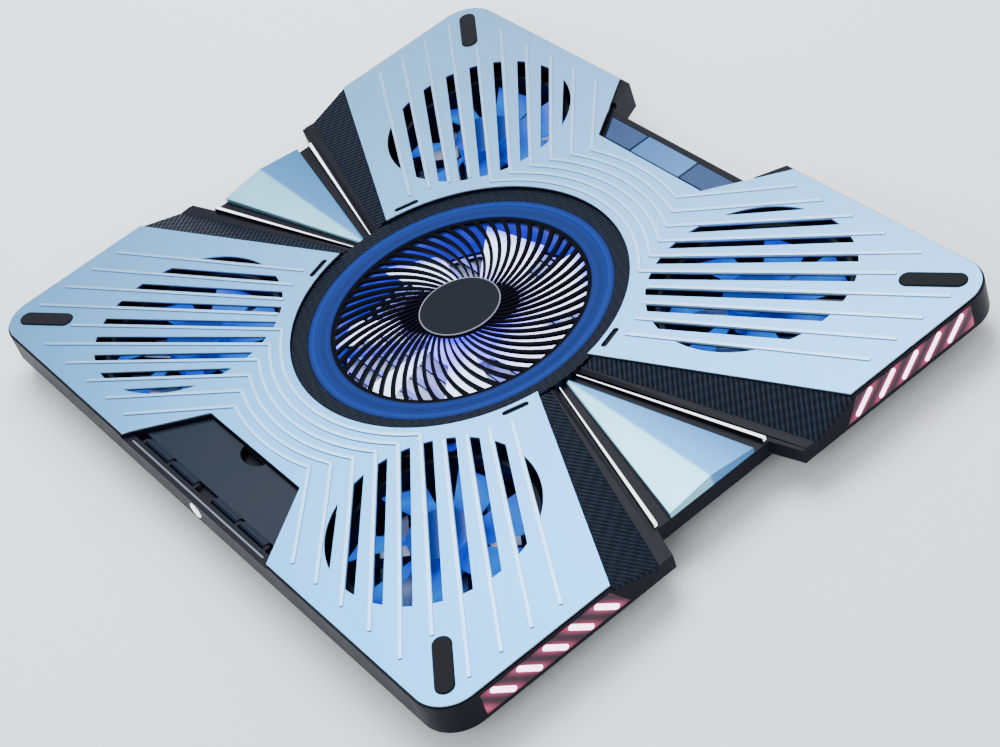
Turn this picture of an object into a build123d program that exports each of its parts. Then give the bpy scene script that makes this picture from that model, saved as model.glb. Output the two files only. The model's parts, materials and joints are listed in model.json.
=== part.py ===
from build123d import *
import os
from math import atan2, cos, degrees, hypot, radians, sin, sqrt

# Laptop cooling pad: a flat black case under a silver top plate, with one large and four small fans.
# Millimetres. X runs along the long sides, -Y is the user's side, Z is up and zero under the feet.

# --- overall sizes -------------------------------------------------------------------------------
plate_length = 400.0          # top plate, along X
plate_width = 315.2           # top plate, along Y
plate_corner_radius = 17.0
plate_thickness = 1.2
pad_height = 30.0             # underside of the feet to the top of the plate
case_lip = 1.0                # how far the case stands out round the plate
case_wall = 2.4
deck_skin = 2.0               # roof of the deck, right under the plate
split_height = 14.0           # where the deck meets the bottom shell
foot_height = 2.0
floor_thickness = 2.2
taper_inset = 15.0            # how far the bottom shell draws in towards its floor
shell_side_wall = 3.6         # measured level, through the sloping side of the bottom shell

# --- clearances ----------------------------------------------------------------------------------
seat_gap = 0.1                # between pieces that sit in one another
edge_gap = 0.4                # round covers, lids and keys
moving_gap = 0.5              # between a moving piece and what it passes
running_gap = 0.05            # radial, shaft or pin in its bore

# --- top plate pattern ---------------------------------------------------------------------------
ring_radius = 84.0            # round opening in the middle of the plate
recess_inner_half = 39.9      # long-side recesses: half width at the inner edge
recess_outer_half = 66.7      # and at the edge of the plate
recess_depth = 36.4
slot_circle_radius = 49.3     # each lobe's slots end on this circle
slot_count = 9
slot_pitch = 11.9
slot_width = 4.4
slot_angle = 33.5             # of the middle slot, from X
slot_fan_step = 1.55          # degrees between neighbouring slots
bead_width = 1.8              # pressed beads beside the slots
bead_height = 0.5
bead_offset = 3.3             # from a slot's middle to its bead's middle
bead_margin = 8.0             # from the bead's outer end to the edge of the plate
bead_arc_from_ring = 4.4      # innermost bead that bends round the ring
bead_arc_pitch = 5.5
bead_arc_count = 6
slit_from_ring = 3.6          # short slits beside the ring
slit_angle = 18.7
slit_length = 13.0
slit_width = 3.0

# --- corner pads ---------------------------------------------------------------------------------
pad_from_edge_x = 22.0
pad_from_edge_y = 18.1
pad_length = 31.0
pad_width = 8.7
pad_angle = 33.0
pad_proud = 0.8

# --- wedges on the short sides (half of one wedge; the rest is mirrored) ---------------------------
wedge_from_ring = 0.8         # where the wedge pieces begin, just outside the ring
wedge_inner_half = 15.9       # plate edge beside the ring
wedge_outer_half = 67.9       # plate edge at the end of the pad
band_inner_half = 9.6         # inner side of the textured panel, by the ring
band_outer_half = 44.0        # and at the end of the pad
band_drop = 8.7               # how far that side lies under the plate's top at the end
strip_inner_half = 6.8        # inner side of the smooth strip, by the ring
strip_outer_half = 38.6
strip_drop = 8.3
wedge_start_drop = 4.4        # depth of all the wedge's lines by the ring
panel_thickness = 1.8
channel_drop_inner = 6.0      # depth of the middle channel by the ring
channel_drop_outer = 8.6
light_half_inner = 5.0        # centre line of the light strip, by the ring
light_half_outer = 31.1       # and at its outer end
light_width_inner = 1.0
light_width_outer = 2.4
light_from_end = 16.5          # outer end of the strip, from the end of the plate
light_drop = 6.0
cover_half_width = 24.0
cover_tip_half_width = 1.2
cover_side_drop = 5.5
cover_crest_drop = 2.5
cover_tip_drop = 4.0
wedge_block_bottom = 17.2

# --- notches in the outline ------------------------------------------------------------------------
side_notch_depth = 15.0       # how far the short sides step back, from the end of the plate
side_notch_half = 32.0
side_notch_flare = 0.305      # widening per millimetre outwards
rear_notch_y = 140.5
rear_notch_half = 52.0
rear_notch_flare = 0.46

# --- middle: bezel, light ring, grille -------------------------------------------------------------
bezel_width = 8.0
bezel_skirt = 2.0
bezel_drop_outer = 2.2
bezel_drop_inner = 3.0
light_ring_width = 11.4
light_ring_lip = 1.8
grille_thickness = 1.6
grille_drop = 3.8
grille_rim = 2.0
rib_count = 53
rib_share = 0.37              # of the pitch that is rib, at every radius
rib_turn = 35.0               # degrees that a rib turns on its way out
hub_cap_radius = 20.3
hub_cap_thickness = 0.8
ledge_width = 13.4            # seat under the bezel and the light ring, from the ring's edge
ledge_height = 20.0
ledge_thickness = 1.6
ledge_wall = 2.0
led_board_thickness = 1.2

# --- fans ------------------------------------------------------------------------------------------
main_fan_inset = 18.0         # inside of the frame, from the ring's edge
main_frame_top = 22.8
main_hub_radius = 21.0
small_fan_radius = 44.0
small_frame_top = 22.0
small_hub_radius = 15.0
small_fan_x = 107.2
small_fan_y = 93.4
fan_frame_wall = 2.6
fan_base_thickness = 2.0
fan_blades = 7
fan_shaft_radius = 1.5
fan_sleeve_radius = 3.2
fan_hub_wall = 2.0
blade_thickness = 1.4
blade_tip_gap = 1.6
blade_sweep = 16.0
strut_width = 5.0
ear_radius = 3.6
fan_screw_radius = 1.15
fan_screw_head = 2.4
fan_opening_gap = 1.3         # hole in the deck skin, beyond the slot circle
vent_bar = 2.4                # grille bars in the floor
vent_gap = 6.0

# --- front flap and power button -------------------------------------------------------------------
flap_drop = 3.0               # top of the closed flap, under the plate
flap_thickness = 2.2
flap_edge_gap = 0.8           # from its free edge to the recess
flap_hinge_y = 150.4
flap_hinge_drop = 4.8
flap_barrel_radius = 2.0
flap_pin_radius = 1.0
flap_recess_front_y = 153.1   # inner face of the sill
flap_floor_drop = 5.6
flap_floor_thickness = 3.0
flap_finger_half = 9.5
flap_finger_depth = 6.0
finger_pocket_drop = 7.6
sill_drop = 2.6
knuckle_start = 8.0
knuckle_end = 54.0
knuckle_split = 31.0
post_thickness = 2.0
button_drop = 9.0
button_radius = 4.0
button_depth = 3.0
button_travel = 0.8
button_stem_radius = 1.5
button_bore_depth = 4.2
switch_size = 6.0

# --- rear keys, display and sockets ----------------------------------------------------------------
key_panel_drop = 3.4          # top of the panel in the rear recess
key_panel_thickness = 1.6
key_drop = 2.8
key_travel = 0.6
key_flange = 0.9
key_inner_x = 19.6
key_near_y = 123.8
key_far_y = 136.6
display_half = 18.5
board_thickness = 1.6
board_drop = 8.0              # top of the control board
socket_width = 13.2
socket_height = 5.7
socket_length = 14.0
socket_wall = 0.4
socket_tongue = 1.8
socket_x = 14.0

# --- side lights -----------------------------------------------------------------------------------
lens_near_low = 62.0          # the near end of a lens leans like its bars
lens_near_high = 69.8
lens_far = 138.5
lens_drop_top = 2.4
lens_drop_bottom = 13.8
lens_thickness = 1.5
bar_count = 5
bar_first = 73.0
bar_pitch = 13.8
bar_slant = 11.4
bar_drop_top = 2.9
bar_drop_bottom = 13.3
bar_width = 3.0

# --- stand legs, feet and screws -------------------------------------------------------------------
leg_x = 172.0
leg_width = 18.0
leg_thickness = 5.4
leg_length = 58.0
leg_hinge_y = 118.0
leg_hinge_z = 5.0
leg_pin_radius = 1.5
leg_pocket_wall = 1.6
leg_finger_gap = 8.0
foot_x = 160.0
foot_y = 133.0
foot_length = 22.0
foot_width = 9.0
foot_sink = 1.0
boss_radius = 3.6
screw_radius = 1.3
screw_head_radius = 2.8
screw_head_height = 1.4
screw_tip = 16.0
screw_places = [(60.0, 75.0), (150.0, 48.0), (178.0, 137.4)]

# --- worked out from the values above --------------------------------------------------------------
plate_top = pad_height
bead_arc_radius = ring_radius + bead_arc_from_ring
slit_radius = ring_radius + slit_from_ring
wedge_start = ring_radius + wedge_from_ring
bezel_inner_radius = ring_radius - bezel_width
light_ring_inner_radius = bezel_inner_radius - light_ring_width
ledge_inner_radius = ring_radius - ledge_width
main_fan_radius = ring_radius - main_fan_inset
side_notch_x = plate_length / 2 - side_notch_depth
cover_end = side_notch_x
light_end = plate_length / 2 - light_from_end
flap_inner_y = plate_width / 2 - recess_depth + flap_edge_gap
deck_top = plate_top - plate_thickness
skin_bottom = deck_top - deck_skin
floor_bottom = foot_height
floor_top = floor_bottom + floor_thickness
case_half_x = plate_length / 2 + case_lip
case_half_y = plate_width / 2 + case_lip
case_corner = plate_corner_radius + case_lip
beyond = 3.0                  # how far cutters run past a face
fan_base_top = floor_top + fan_base_thickness
all_quadrants = [(1, 1), (1, -1), (-1, 1), (-1, -1)]


def side_name(sx, sy):
    """Name of a quadrant, as the user sees it."""
    return ("right" if sx > 0 else "left") + ("_rear" if sy > 0 else "_front")


# --- basic shapes ----------------------------------------------------------------------------------
def block(x0, x1, y0, y1, z0, z1):
    """Box between two corners."""
    centre = Pos((x0 + x1) / 2, (y0 + y1) / 2, (z0 + z1) / 2)
    return centre * Box(x1 - x0, y1 - y0, z1 - z0)


def disc(radius, z0, z1, x=0.0, y=0.0):
    """Upright cylinder."""
    return Pos(x, y, (z0 + z1) / 2) * Cylinder(radius, z1 - z0)


def tube(outer, inner, z0, z1, x=0.0, y=0.0):
    """Upright tube."""
    return disc(outer, z0, z1, x, y) - disc(inner, z0 - 1, z1 + 1, x, y)


def prism(points, z0, z1):
    """Upright prism over a polygon."""
    return Pos(0, 0, z0) * extrude(Polygon(*points, align=None), z1 - z0, dir=(0, 0, 1))


def rod_x(radius, x0, x1, y, z):
    """Cylinder along X."""
    return Pos((x0 + x1) / 2, y, z) * Rot(0, 90, 0) * Cylinder(radius, x1 - x0)


def rod_y(radius, y0, y1, x, z):
    """Cylinder along Y."""
    return Pos(x, (y0 + y1) / 2, z) * Rot(90, 0, 0) * Cylinder(radius, y1 - y0)


def turned(profile):
    """Solid of revolution about Z from (radius, height) points."""
    face = Plane.XZ * Polygon(*profile, align=None)
    return revolve(face, Axis.Z)


def slab(top, bottom):
    """Solid between two outlines that share their plan, each given as four (x, y, z) corners."""
    faces = [triangle(top[0], top[1], top[2]), triangle(top[0], top[2], top[3])]
    faces += [triangle(bottom[0], bottom[1], bottom[2]), triangle(bottom[0], bottom[2], bottom[3])]
    for i in range(4):
        j = (i + 1) % 4
        faces.append(Face(Wire.make_polygon([top[i], top[j], bottom[j], bottom[i]], close=True)))
    return Part() + Solid(Shell(faces))


def triangle(a, b, c):
    """Flat three-cornered face."""
    return Face(Wire.make_polygon([a, b, c], close=True))


def in_quadrant(shape, sx, sy):
    """Bring a piece made for +X, +Y into another quadrant."""
    if sx < 0 and sy < 0:
        return Rot(0, 0, 180) * shape
    if sx < 0:
        return mirror(shape, about=Plane.YZ)
    if sy < 0:
        return mirror(shape, about=Plane.XZ)
    return shape


# --- outlines --------------------------------------------------------------------------------------
def side_notch(inset):
    """Plan of the notch in the +X end, grown by an inset."""
    slant = inset * sqrt(1 + side_notch_flare ** 2)
    near_x = side_notch_x - inset
    far_x = case_half_x + beyond
    near = side_notch_half + slant - inset * side_notch_flare
    far = side_notch_half + slant + (far_x - side_notch_x) * side_notch_flare
    return [(near_x, -near), (far_x, -far), (far_x, far), (near_x, near)]


def rear_notch(inset):
    """Plan of the notch in the rear side, grown by an inset."""
    slant = inset * sqrt(1 + rear_notch_flare ** 2)
    near_y = rear_notch_y - inset
    far_y = case_half_y + beyond
    near = rear_notch_half + slant - inset * rear_notch_flare
    far = rear_notch_half + slant + (far_y - rear_notch_y) * rear_notch_flare
    return [(-near, near_y), (near, near_y), (far, far_y), (-far, far_y)]


def case_prism(inset, z0, z1):
    """Straight-sided body with the case's outline, drawn in by an inset."""
    outline = RectangleRounded(2 * (case_half_x - inset), 2 * (case_half_y - inset), case_corner - inset)
    body = Pos(0, 0, z0) * extrude(outline, z1 - z0)
    notch = prism(side_notch(inset), z0 - 1, z1 + 1)
    return body - notch - mirror(notch, about=Plane.YZ) - prism(rear_notch(inset), z0 - 1, z1 + 1)


def case_taper(extra):
    """Body of the bottom shell, narrowing downwards, drawn in by a further level distance."""
    top_inset = case_lip / 2 + extra
    low_inset = top_inset + taper_inset
    low_corner = max(case_corner - low_inset, 1.0)

    def outline(inset, corner, z):
        return Pos(0, 0, z) * RectangleRounded(2 * (case_half_x - inset), 2 * (case_half_y - inset), corner)

    upper = outline(top_inset, case_corner - top_inset, split_height)
    body = loft([outline(low_inset, low_corner, floor_bottom), upper], ruled=True)
    for notch in (side_notch, rear_notch):
        low = Pos(0, 0, floor_bottom) * Polygon(*notch(low_inset), align=None)
        high = Pos(0, 0, split_height) * Polygon(*notch(top_inset), align=None)
        cutter = loft([low, high], ruled=True)
        body -= cutter
        if notch is side_notch:
            body -= mirror(cutter, about=Plane.YZ)
    return body


def recess_plan(y_sign, grow=0.0, outer_y=None):
    """Plan of the recess in a long side of the plate."""
    slope = (recess_outer_half - recess_inner_half) / recess_depth
    inner_y = plate_width / 2 - recess_depth
    outer_y = outer_y or plate_width / 2
    near = recess_inner_half + grow
    far = recess_inner_half + (outer_y - inner_y) * slope + grow
    low, high = y_sign * (inner_y - grow), y_sign * outer_y
    return [(-near, low), (near, low), (far, high), (-far, high)]


# --- top plate -------------------------------------------------------------------------------------
def slot_line(index):
    """Middle point and direction in degrees of one slot line in the +X, +Y lobe."""
    step = index - (slot_count - 1) / 2
    across = radians(slot_angle)
    x = small_fan_x + sin(across) * step * slot_pitch
    y = small_fan_y - cos(across) * step * slot_pitch
    return x, y, slot_angle - slot_fan_step * step


def bead_span(index):
    """Start, end and direction of the bead beside one slot line; index -1 has a bead but no slot."""
    x, y, angle = slot_line(index)
    ux, uy = cos(radians(angle)), sin(radians(angle))
    x, y = x - uy * bead_offset, y + ux * bead_offset
    last_arc = bead_arc_count - 2
    start_radius = bead_arc_radius + bead_arc_pitch * max(last_arc - index, 1 if index > last_arc else 0)
    along = x * ux + y * uy
    start = -along + sqrt(along ** 2 - x * x - y * y + start_radius ** 2)
    to_side = (plate_width / 2 - bead_margin - y) / uy
    to_end = (plate_length / 2 - bead_margin - x) / ux
    end = min(to_side, to_end)
    pad_x, pad_y = plate_length / 2 - pad_from_edge_x, plate_width / 2 - pad_from_edge_y
    across_pad = abs((pad_x - x) * uy - (pad_y - y) * ux)
    if across_pad < pad_width:
        end = (pad_x - x) * ux + (pad_y - y) * uy - pad_length / 2 - bead_width
    return x, y, angle, start, end


def lobe_slots():
    """Cutters for the slots of the +X, +Y lobe."""
    height = 3 * plate_thickness
    cutters = Part()
    for index in range(slot_count):
        x, y, angle = slot_line(index)
        cutters += Pos(x, y, plate_top) * Rot(0, 0, angle) * Box(2 * slot_circle_radius, slot_width, height)
    round_edge = disc(slot_circle_radius, plate_top - height, plate_top + height, small_fan_x, small_fan_y)
    return cutters & round_edge


def lobe_beads():
    """Straight beads of the +X, +Y lobe, as a list of bars."""
    bars = []
    for index in range(-1, slot_count):
        x, y, angle, start, end = bead_span(index)
        middle, length = (start + end) / 2, end - start
        bar = Box(length, bead_width, 2 * bead_height)
        bars.append(Pos(x, y, plate_top) * Rot(0, 0, angle) * Pos(middle, 0, 0) * bar)
    return bars


def bead_arcs():
    """Curved beads that join the lobes' beads across the rear long side."""
    arcs = []
    for index in range(-1, bead_arc_count - 1):
        x, y, angle, start, _ = bead_span(index)
        ux, uy = cos(radians(angle)), sin(radians(angle))
        sx, sy = x + ux * start, y + uy * start
        radius = hypot(sx, sy)
        half = degrees(atan2(sx, sy))
        section = Plane.XZ * Pos(radius, plate_top) * Rectangle(bead_width, 2 * bead_height)
        arcs.append(Rot(0, 0, 90 - half) * revolve(section, Axis.Z, 2 * half))
    return arcs


def corner_pad_plan(grow=0.0):
    """Plan of the +X, +Y corner pad."""
    x, y = plate_length / 2 - pad_from_edge_x, plate_width / 2 - pad_from_edge_y
    pad = SlotOverall(pad_length + 2 * grow, pad_width + 2 * grow)
    return Pos(x, y, 0) * Rot(0, 0, pad_angle) * pad


def make_top_plates():
    """Front and rear silver plates with their slots, slits, pad holes and pressed beads."""
    outline = RectangleRounded(plate_length, plate_width, plate_corner_radius)
    plate = Pos(0, 0, deck_top) * extrude(outline, plate_thickness)
    arcs = bead_arcs()
    beads = arcs + [mirror(arc, about=Plane.XZ) for arc in arcs]
    holes = [disc(ring_radius, deck_top - 1, plate_top + 2)]
    slots = lobe_slots()
    pad_hole = Pos(0, 0, deck_top - 1) * extrude(corner_pad_plan(seat_gap), 4)
    slit = extrude(SlotOverall(slit_length, slit_width), 3, both=True)
    slit = Pos(slit_radius, 0, plate_top) * Rot(0, 0, 90) * slit
    slit = Rot(0, 0, slit_angle) * slit
    for sx, sy in all_quadrants:
        beads += [in_quadrant(bead, sx, sy) for bead in lobe_beads()]
        holes += [in_quadrant(hole, sx, sy) for hole in (slots, pad_hole, slit)]
    wedge = prism(wedge_plan(), deck_top - 1, plate_top + 2)
    holes += [wedge, mirror(wedge, about=Plane.YZ)]
    holes += [prism(recess_plan(sign, outer_y=plate_width), deck_top - 1, plate_top + 2) for sign in (1, -1)]
    plate += beads
    for hole in holes:
        plate -= hole
    front_half = plate.solids().sort_by(Axis.Y)[0]
    return front_half, Rot(0, 0, 180) * front_half


# --- wedges ----------------------------------------------------------------------------------------
def wedge_plan(grow=0.0):
    """Plan of the whole +X wedge, out past the end of the pad."""
    slope = (wedge_outer_half - wedge_inner_half) / (plate_length / 2 - wedge_start)
    start, end = wedge_start - 5, case_half_x + beyond
    near = wedge_inner_half + (start - wedge_start) * slope + grow
    far = wedge_inner_half + (end - wedge_start) * slope + grow
    return [(start, -near), (end, -far), (end, far), (start, near)]


def wedge_line(x, inner_half, outer_half, inner_drop, outer_drop):
    """Point on one of the wedge's long lines at a given X."""
    share = (x - wedge_start) / (plate_length / 2 - wedge_start)
    half = inner_half + (outer_half - inner_half) * share
    drop = inner_drop + (outer_drop - inner_drop) * share
    return x, half, plate_top - drop


def plate_edge_line(x):
    return wedge_line(x, wedge_inner_half, wedge_outer_half, plate_thickness, plate_thickness)


def band_line(x):
    """Inner side of the textured panel, at a depth that keeps the panel flat."""
    slope = (band_drop - plate_thickness) / (wedge_outer_half - band_outer_half)
    half = wedge_line(x, band_inner_half, band_outer_half, 0.0, 0.0)[1]
    return x, half, deck_top - slope * (plate_edge_line(x)[1] - half)


def strip_line(x):
    return wedge_line(x, strip_inner_half, strip_outer_half, wedge_start_drop, strip_drop)


def channel_height(x):
    """Height of the floor of the wedge's middle channel."""
    return wedge_line(x, 0.0, 0.0, channel_drop_inner, channel_drop_outer)[2]


def facet(line_a, line_b, start, end, thickness):
    """Sheet between two wedge lines, with its upper face on the lines."""
    top = [line_a(start), line_a(end), line_b(end), line_b(start)]
    return slab(top, [(x, y, z - thickness) for x, y, z in top])


def make_wedge_panel(sx, sy):
    """Textured panel that slopes from the plate's edge down into the wedge."""
    panel = facet(plate_edge_line, band_line, wedge_start, case_half_x, panel_thickness)
    return in_quadrant(panel, sx, sy)


def light_corners(grow, lift):
    """Four plan corners of a light strip, each with its own top height."""
    share = light_half_outer - light_half_inner
    inner_w, outer_w = light_width_inner / 2 + grow, light_width_outer / 2 + grow
    z_in, z_out = plate_top - wedge_start_drop + lift, plate_top - light_drop + lift
    y_in, y_out = light_half_inner, light_half_inner + share
    near, far = wedge_start, light_end
    return [(near, y_in - inner_w, z_in), (far, y_out - outer_w, z_out),
            (far, y_out + outer_w, z_out), (near, y_in + inner_w, z_in)]


def make_wedge_light(sx, sy):
    """Light strip that stands in the wedge's channel."""
    top = light_corners(0.0, 0.0)
    bottom = [(x, y, channel_height(x)) for x, y, _ in top]
    return in_quadrant(slab(top, bottom), sx, sy)


def make_ridge_cover(sx):
    """Silver cover with a crest, widening from the ring to the end of the pad."""
    near, far = wedge_start, cover_end
    tip, side = plate_top - cover_tip_drop, plate_top - cover_side_drop
    crest = plate_top - cover_crest_drop
    cover = Part()
    for sign in (1, -1):
        top = [(near, 0, tip), (far, 0, crest)]
        top += [(far, sign * cover_half_width, side), (near, sign * cover_tip_half_width, tip - 0.6)]
        cover += slab(top, [(x, y, channel_height(x)) for x, y, _ in top])
    return in_quadrant(cover, sx, 1)


# --- deck ------------------------------------------------------------------------------------------
def wedge_block():
    """Solid bed that carries the panels, strips and cover of the +X wedge."""
    bed = prism(wedge_plan(case_wall), wedge_block_bottom, deck_top) & case_prism(0, split_height, deck_top)
    bed -= disc(ring_radius + 0.3, split_height, plate_top)
    for relief in wedge_reliefs():
        bed -= relief
    return bed


def wedge_reliefs():
    """Space above the deck in the +X wedge: over the panels, the smooth strips and the channel."""
    start, end = wedge_start - 5, case_half_x + beyond
    sky = plate_top + 5
    reliefs = []
    for sign in (1, -1):
        for upper, lower, sink in ((plate_edge_line, band_line, panel_thickness), (band_line, strip_line, 0.0)):
            low = [upper(start), upper(end), lower(end), lower(start)]
            low = [(x, sign * y, z - sink) for x, y, z in low]
            reliefs.append(slab([(x, y, sky) for x, y, z in low], low))
    half_in, half_out = strip_line(start)[1], strip_line(end)[1]
    low = [(start, -half_in, channel_height(start)), (end, -half_out, channel_height(end)),
           (end, half_out, channel_height(end)), (start, half_in, channel_height(start))]
    return reliefs + [slab([(x, y, sky) for x, y, z in low], low)]


def central_seat():
    """Round wall and ledge that carry the bezel, the light ring and the board of lights."""
    outer = ring_radius + 0.3 + ledge_wall
    seat = tube(outer, ring_radius + 0.3, ledge_height, deck_top)
    for _ in range(2):
        for relief in wedge_reliefs():
            seat -= relief
        seat = Rot(0, 0, 180) * seat
    return seat + tube(outer, ledge_inner_radius, ledge_height, ledge_height + ledge_thickness)


def front_recess(deck):
    """Sink the flap's recess into the deck and stand its hinge posts in it."""
    floor = plate_top - flap_floor_drop
    bottom = floor - flap_floor_thickness
    deck += prism(recess_plan(-1, case_wall, flap_recess_front_y), bottom, deck_top)
    front = -flap_recess_front_y
    deck += block(-recess_outer_half, recess_outer_half, -case_half_y, front, bottom, skin_bottom)
    deck -= prism(recess_plan(-1, 0.0, flap_recess_front_y), floor, plate_top + 1)
    sill_front = case_half_y + beyond
    deck -= prism(recess_plan(-1, 0.0, sill_front), plate_top - sill_drop, plate_top + 1)
    finger_y = flap_inner_y + flap_finger_depth
    pocket = plate_top - finger_pocket_drop
    deck -= block(-flap_finger_half, flap_finger_half, -finger_y, -flap_inner_y, pocket, plate_top)
    groove = plate_top - flap_hinge_drop - flap_barrel_radius - edge_gap
    back = flap_hinge_y - flap_barrel_radius - moving_gap
    hinge_z = plate_top - flap_hinge_drop
    reach = flap_barrel_radius - edge_gap
    for sx in (1, -1):
        x0, x1 = sorted((sx * (knuckle_start - post_thickness), sx * (knuckle_end + post_thickness)))
        deck -= block(x0, x1, -flap_recess_front_y, -back, groove, floor + 1)
        for place in (knuckle_start - post_thickness, knuckle_split - post_thickness / 2, knuckle_end):
            a, b = sorted((sx * place, sx * (place + post_thickness)))
            deck += block(a, b, -flap_recess_front_y, -flap_hinge_y, groove, hinge_z + reach)
            deck += block(a, b, -flap_hinge_y, -flap_hinge_y + reach, groove, hinge_z)
            deck += rod_x(reach, a, b, -flap_hinge_y, hinge_z)
        a, b = sorted((sx * (knuckle_start - post_thickness), sx * (knuckle_end + post_thickness)))
        deck -= rod_x(flap_pin_radius + 0.01, a, b, -flap_hinge_y, hinge_z)
    relief = plate_top - flap_floor_drop - flap_floor_thickness / 2
    deck -= block(-switch_size, switch_size, front, -flap_hinge_y + switch_size, bottom - 1, relief)
    bore_z = plate_top - button_drop
    bore_end = -case_half_y + button_bore_depth
    deck -= rod_y(button_radius + edge_gap / 2, -case_half_y - 1, bore_end, 0, bore_z)
    deck -= rod_y(button_stem_radius + edge_gap / 2, bore_end - 1, -flap_recess_front_y + 1, 0, bore_z)
    return deck


def key_plan(sx, grow=0.0):
    """Plan of one of the two rear keys."""
    slope = (recess_outer_half - recess_inner_half) / recess_depth
    inner_y = plate_width / 2 - recess_depth
    near = recess_inner_half + (key_near_y - inner_y) * slope - 3.0 + grow
    far = near + (key_far_y - key_near_y) * slope
    points = [(key_inner_x - grow, key_near_y - grow), (near, key_near_y - grow)]
    points += [(far, key_far_y + grow), (key_inner_x - grow, key_far_y + grow)]
    return [(sx * x, y) for x, y in points]


def rear_recess(deck):
    """Set the key panel into the rear recess and open it for the keys, display and sockets."""
    top = plate_top - key_panel_drop
    bottom = top - key_panel_thickness
    deck += prism(recess_plan(1, case_wall, rear_notch_y), bottom, deck_top)
    deck -= prism(recess_plan(1, 0.0, rear_notch_y + beyond), top, plate_top + 1)
    for sx in (1, -1):
        deck -= prism(key_plan(sx, edge_gap), bottom - 1, top + 1)
        x = sx * socket_x
        half = socket_width / 2 + edge_gap / 2
        z1 = plate_top - board_drop - board_thickness + 0.1
        z0 = z1 - socket_height - edge_gap
        deck -= block(x - half, x + half, rear_notch_y - 2 * case_wall, rear_notch_y + 1, z0, z1)
    half, gap = display_half, edge_gap / 2
    deck -= block(-half - gap, half + gap, key_near_y - gap, key_far_y + gap, bottom - 1, top + 1)
    return deck


def lens_window(grow, depth, proud):
    """Prism over the +X, +Y side lens, from some depth in the wall to a little outside it."""
    z0, z1 = plate_top - lens_drop_bottom - grow, plate_top - lens_drop_top + grow
    near_low, near_high, far = lens_near_low - grow, lens_near_high - grow, lens_far + grow
    outline = Polygon((near_low, z0), (far, z0), (far, z1), (near_high, z1), align=None)
    plane = Plane(origin=(case_half_x - depth, 0, 0), x_dir=(0, 1, 0), z_dir=(1, 0, 0))
    return extrude(plane * outline, depth + proud)


def make_deck():
    """Upper half of the case, with everything that carries the plates and the trim."""
    deck = case_prism(0, split_height, deck_top) - case_prism(case_wall, split_height - 1, skin_bottom)
    deck -= disc(ring_radius + 0.3, skin_bottom - 1, plate_top)
    clearing, bed = prism(wedge_plan(), wedge_block_bottom, plate_top), wedge_block()
    for turn in (0, 180):
        deck -= Rot(0, 0, turn) * clearing
        deck += Rot(0, 0, turn) * bed
    deck += central_seat()
    opening = slot_circle_radius + fan_opening_gap
    for sx, sy in all_quadrants:
        deck -= disc(opening, skin_bottom - 1, plate_top, sx * small_fan_x, sy * small_fan_y)
        deck -= in_quadrant(lens_window(seat_gap, lens_thickness + seat_gap, 1.0), sx, sy)
        for x, y in screw_places:
            top = wedge_block_bottom if y < wedge_outer_half else skin_bottom
            boss = disc(boss_radius, floor_top, top + 0.5, sx * x, sy * y)
            deck += boss - disc(screw_radius + 0.05, floor_top - 1, screw_tip + 0.2, sx * x, sy * y)
    deck = front_recess(deck)
    return rear_recess(deck)


# --- bottom shell ----------------------------------------------------------------------------------
def vent(radius, x, y, angle):
    """Cutter for a round intake grille in the floor."""
    pitch = vent_bar + vent_gap
    count = int(2 * radius / pitch) + 1
    cutters = Part()
    for index in range(count):
        offset = (index - (count - 1) / 2) * pitch
        cutters += Pos(0, offset, 0) * Box(2 * radius, vent_gap, 4 * floor_thickness)
    cutters = cutters & Cylinder(radius, 4 * floor_thickness)
    return Pos(x, y, floor_bottom) * Rot(0, 0, angle) * cutters


def ear_places(x, y, frame_radius):
    """Centres of a fan's four fixing ears."""
    reach = (frame_radius + fan_frame_wall + fan_screw_head + 0.3) / sqrt(2)
    return [(x + sx * reach, y + sy * reach) for sx, sy in all_quadrants]


def fan_places():
    """Every fan as (x, y, inner radius)."""
    places = [(0.0, 0.0, main_fan_radius)]
    return places + [(sx * small_fan_x, sy * small_fan_y, small_fan_radius) for sx, sy in all_quadrants]


def leg_pocket(wall):
    """Block over the pocket of the +X stand leg, grown by the pocket's wall."""
    half = leg_width / 2 + moving_gap + wall
    y0 = leg_hinge_y - leg_length - leg_finger_gap - wall
    y1 = leg_hinge_y + 4.6 + wall
    top = leg_hinge_z + leg_thickness / 2 + moving_gap + wall
    return block(leg_x - half, leg_x + half, y0, y1, floor_bottom - (0 if wall else 1), top)


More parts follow.
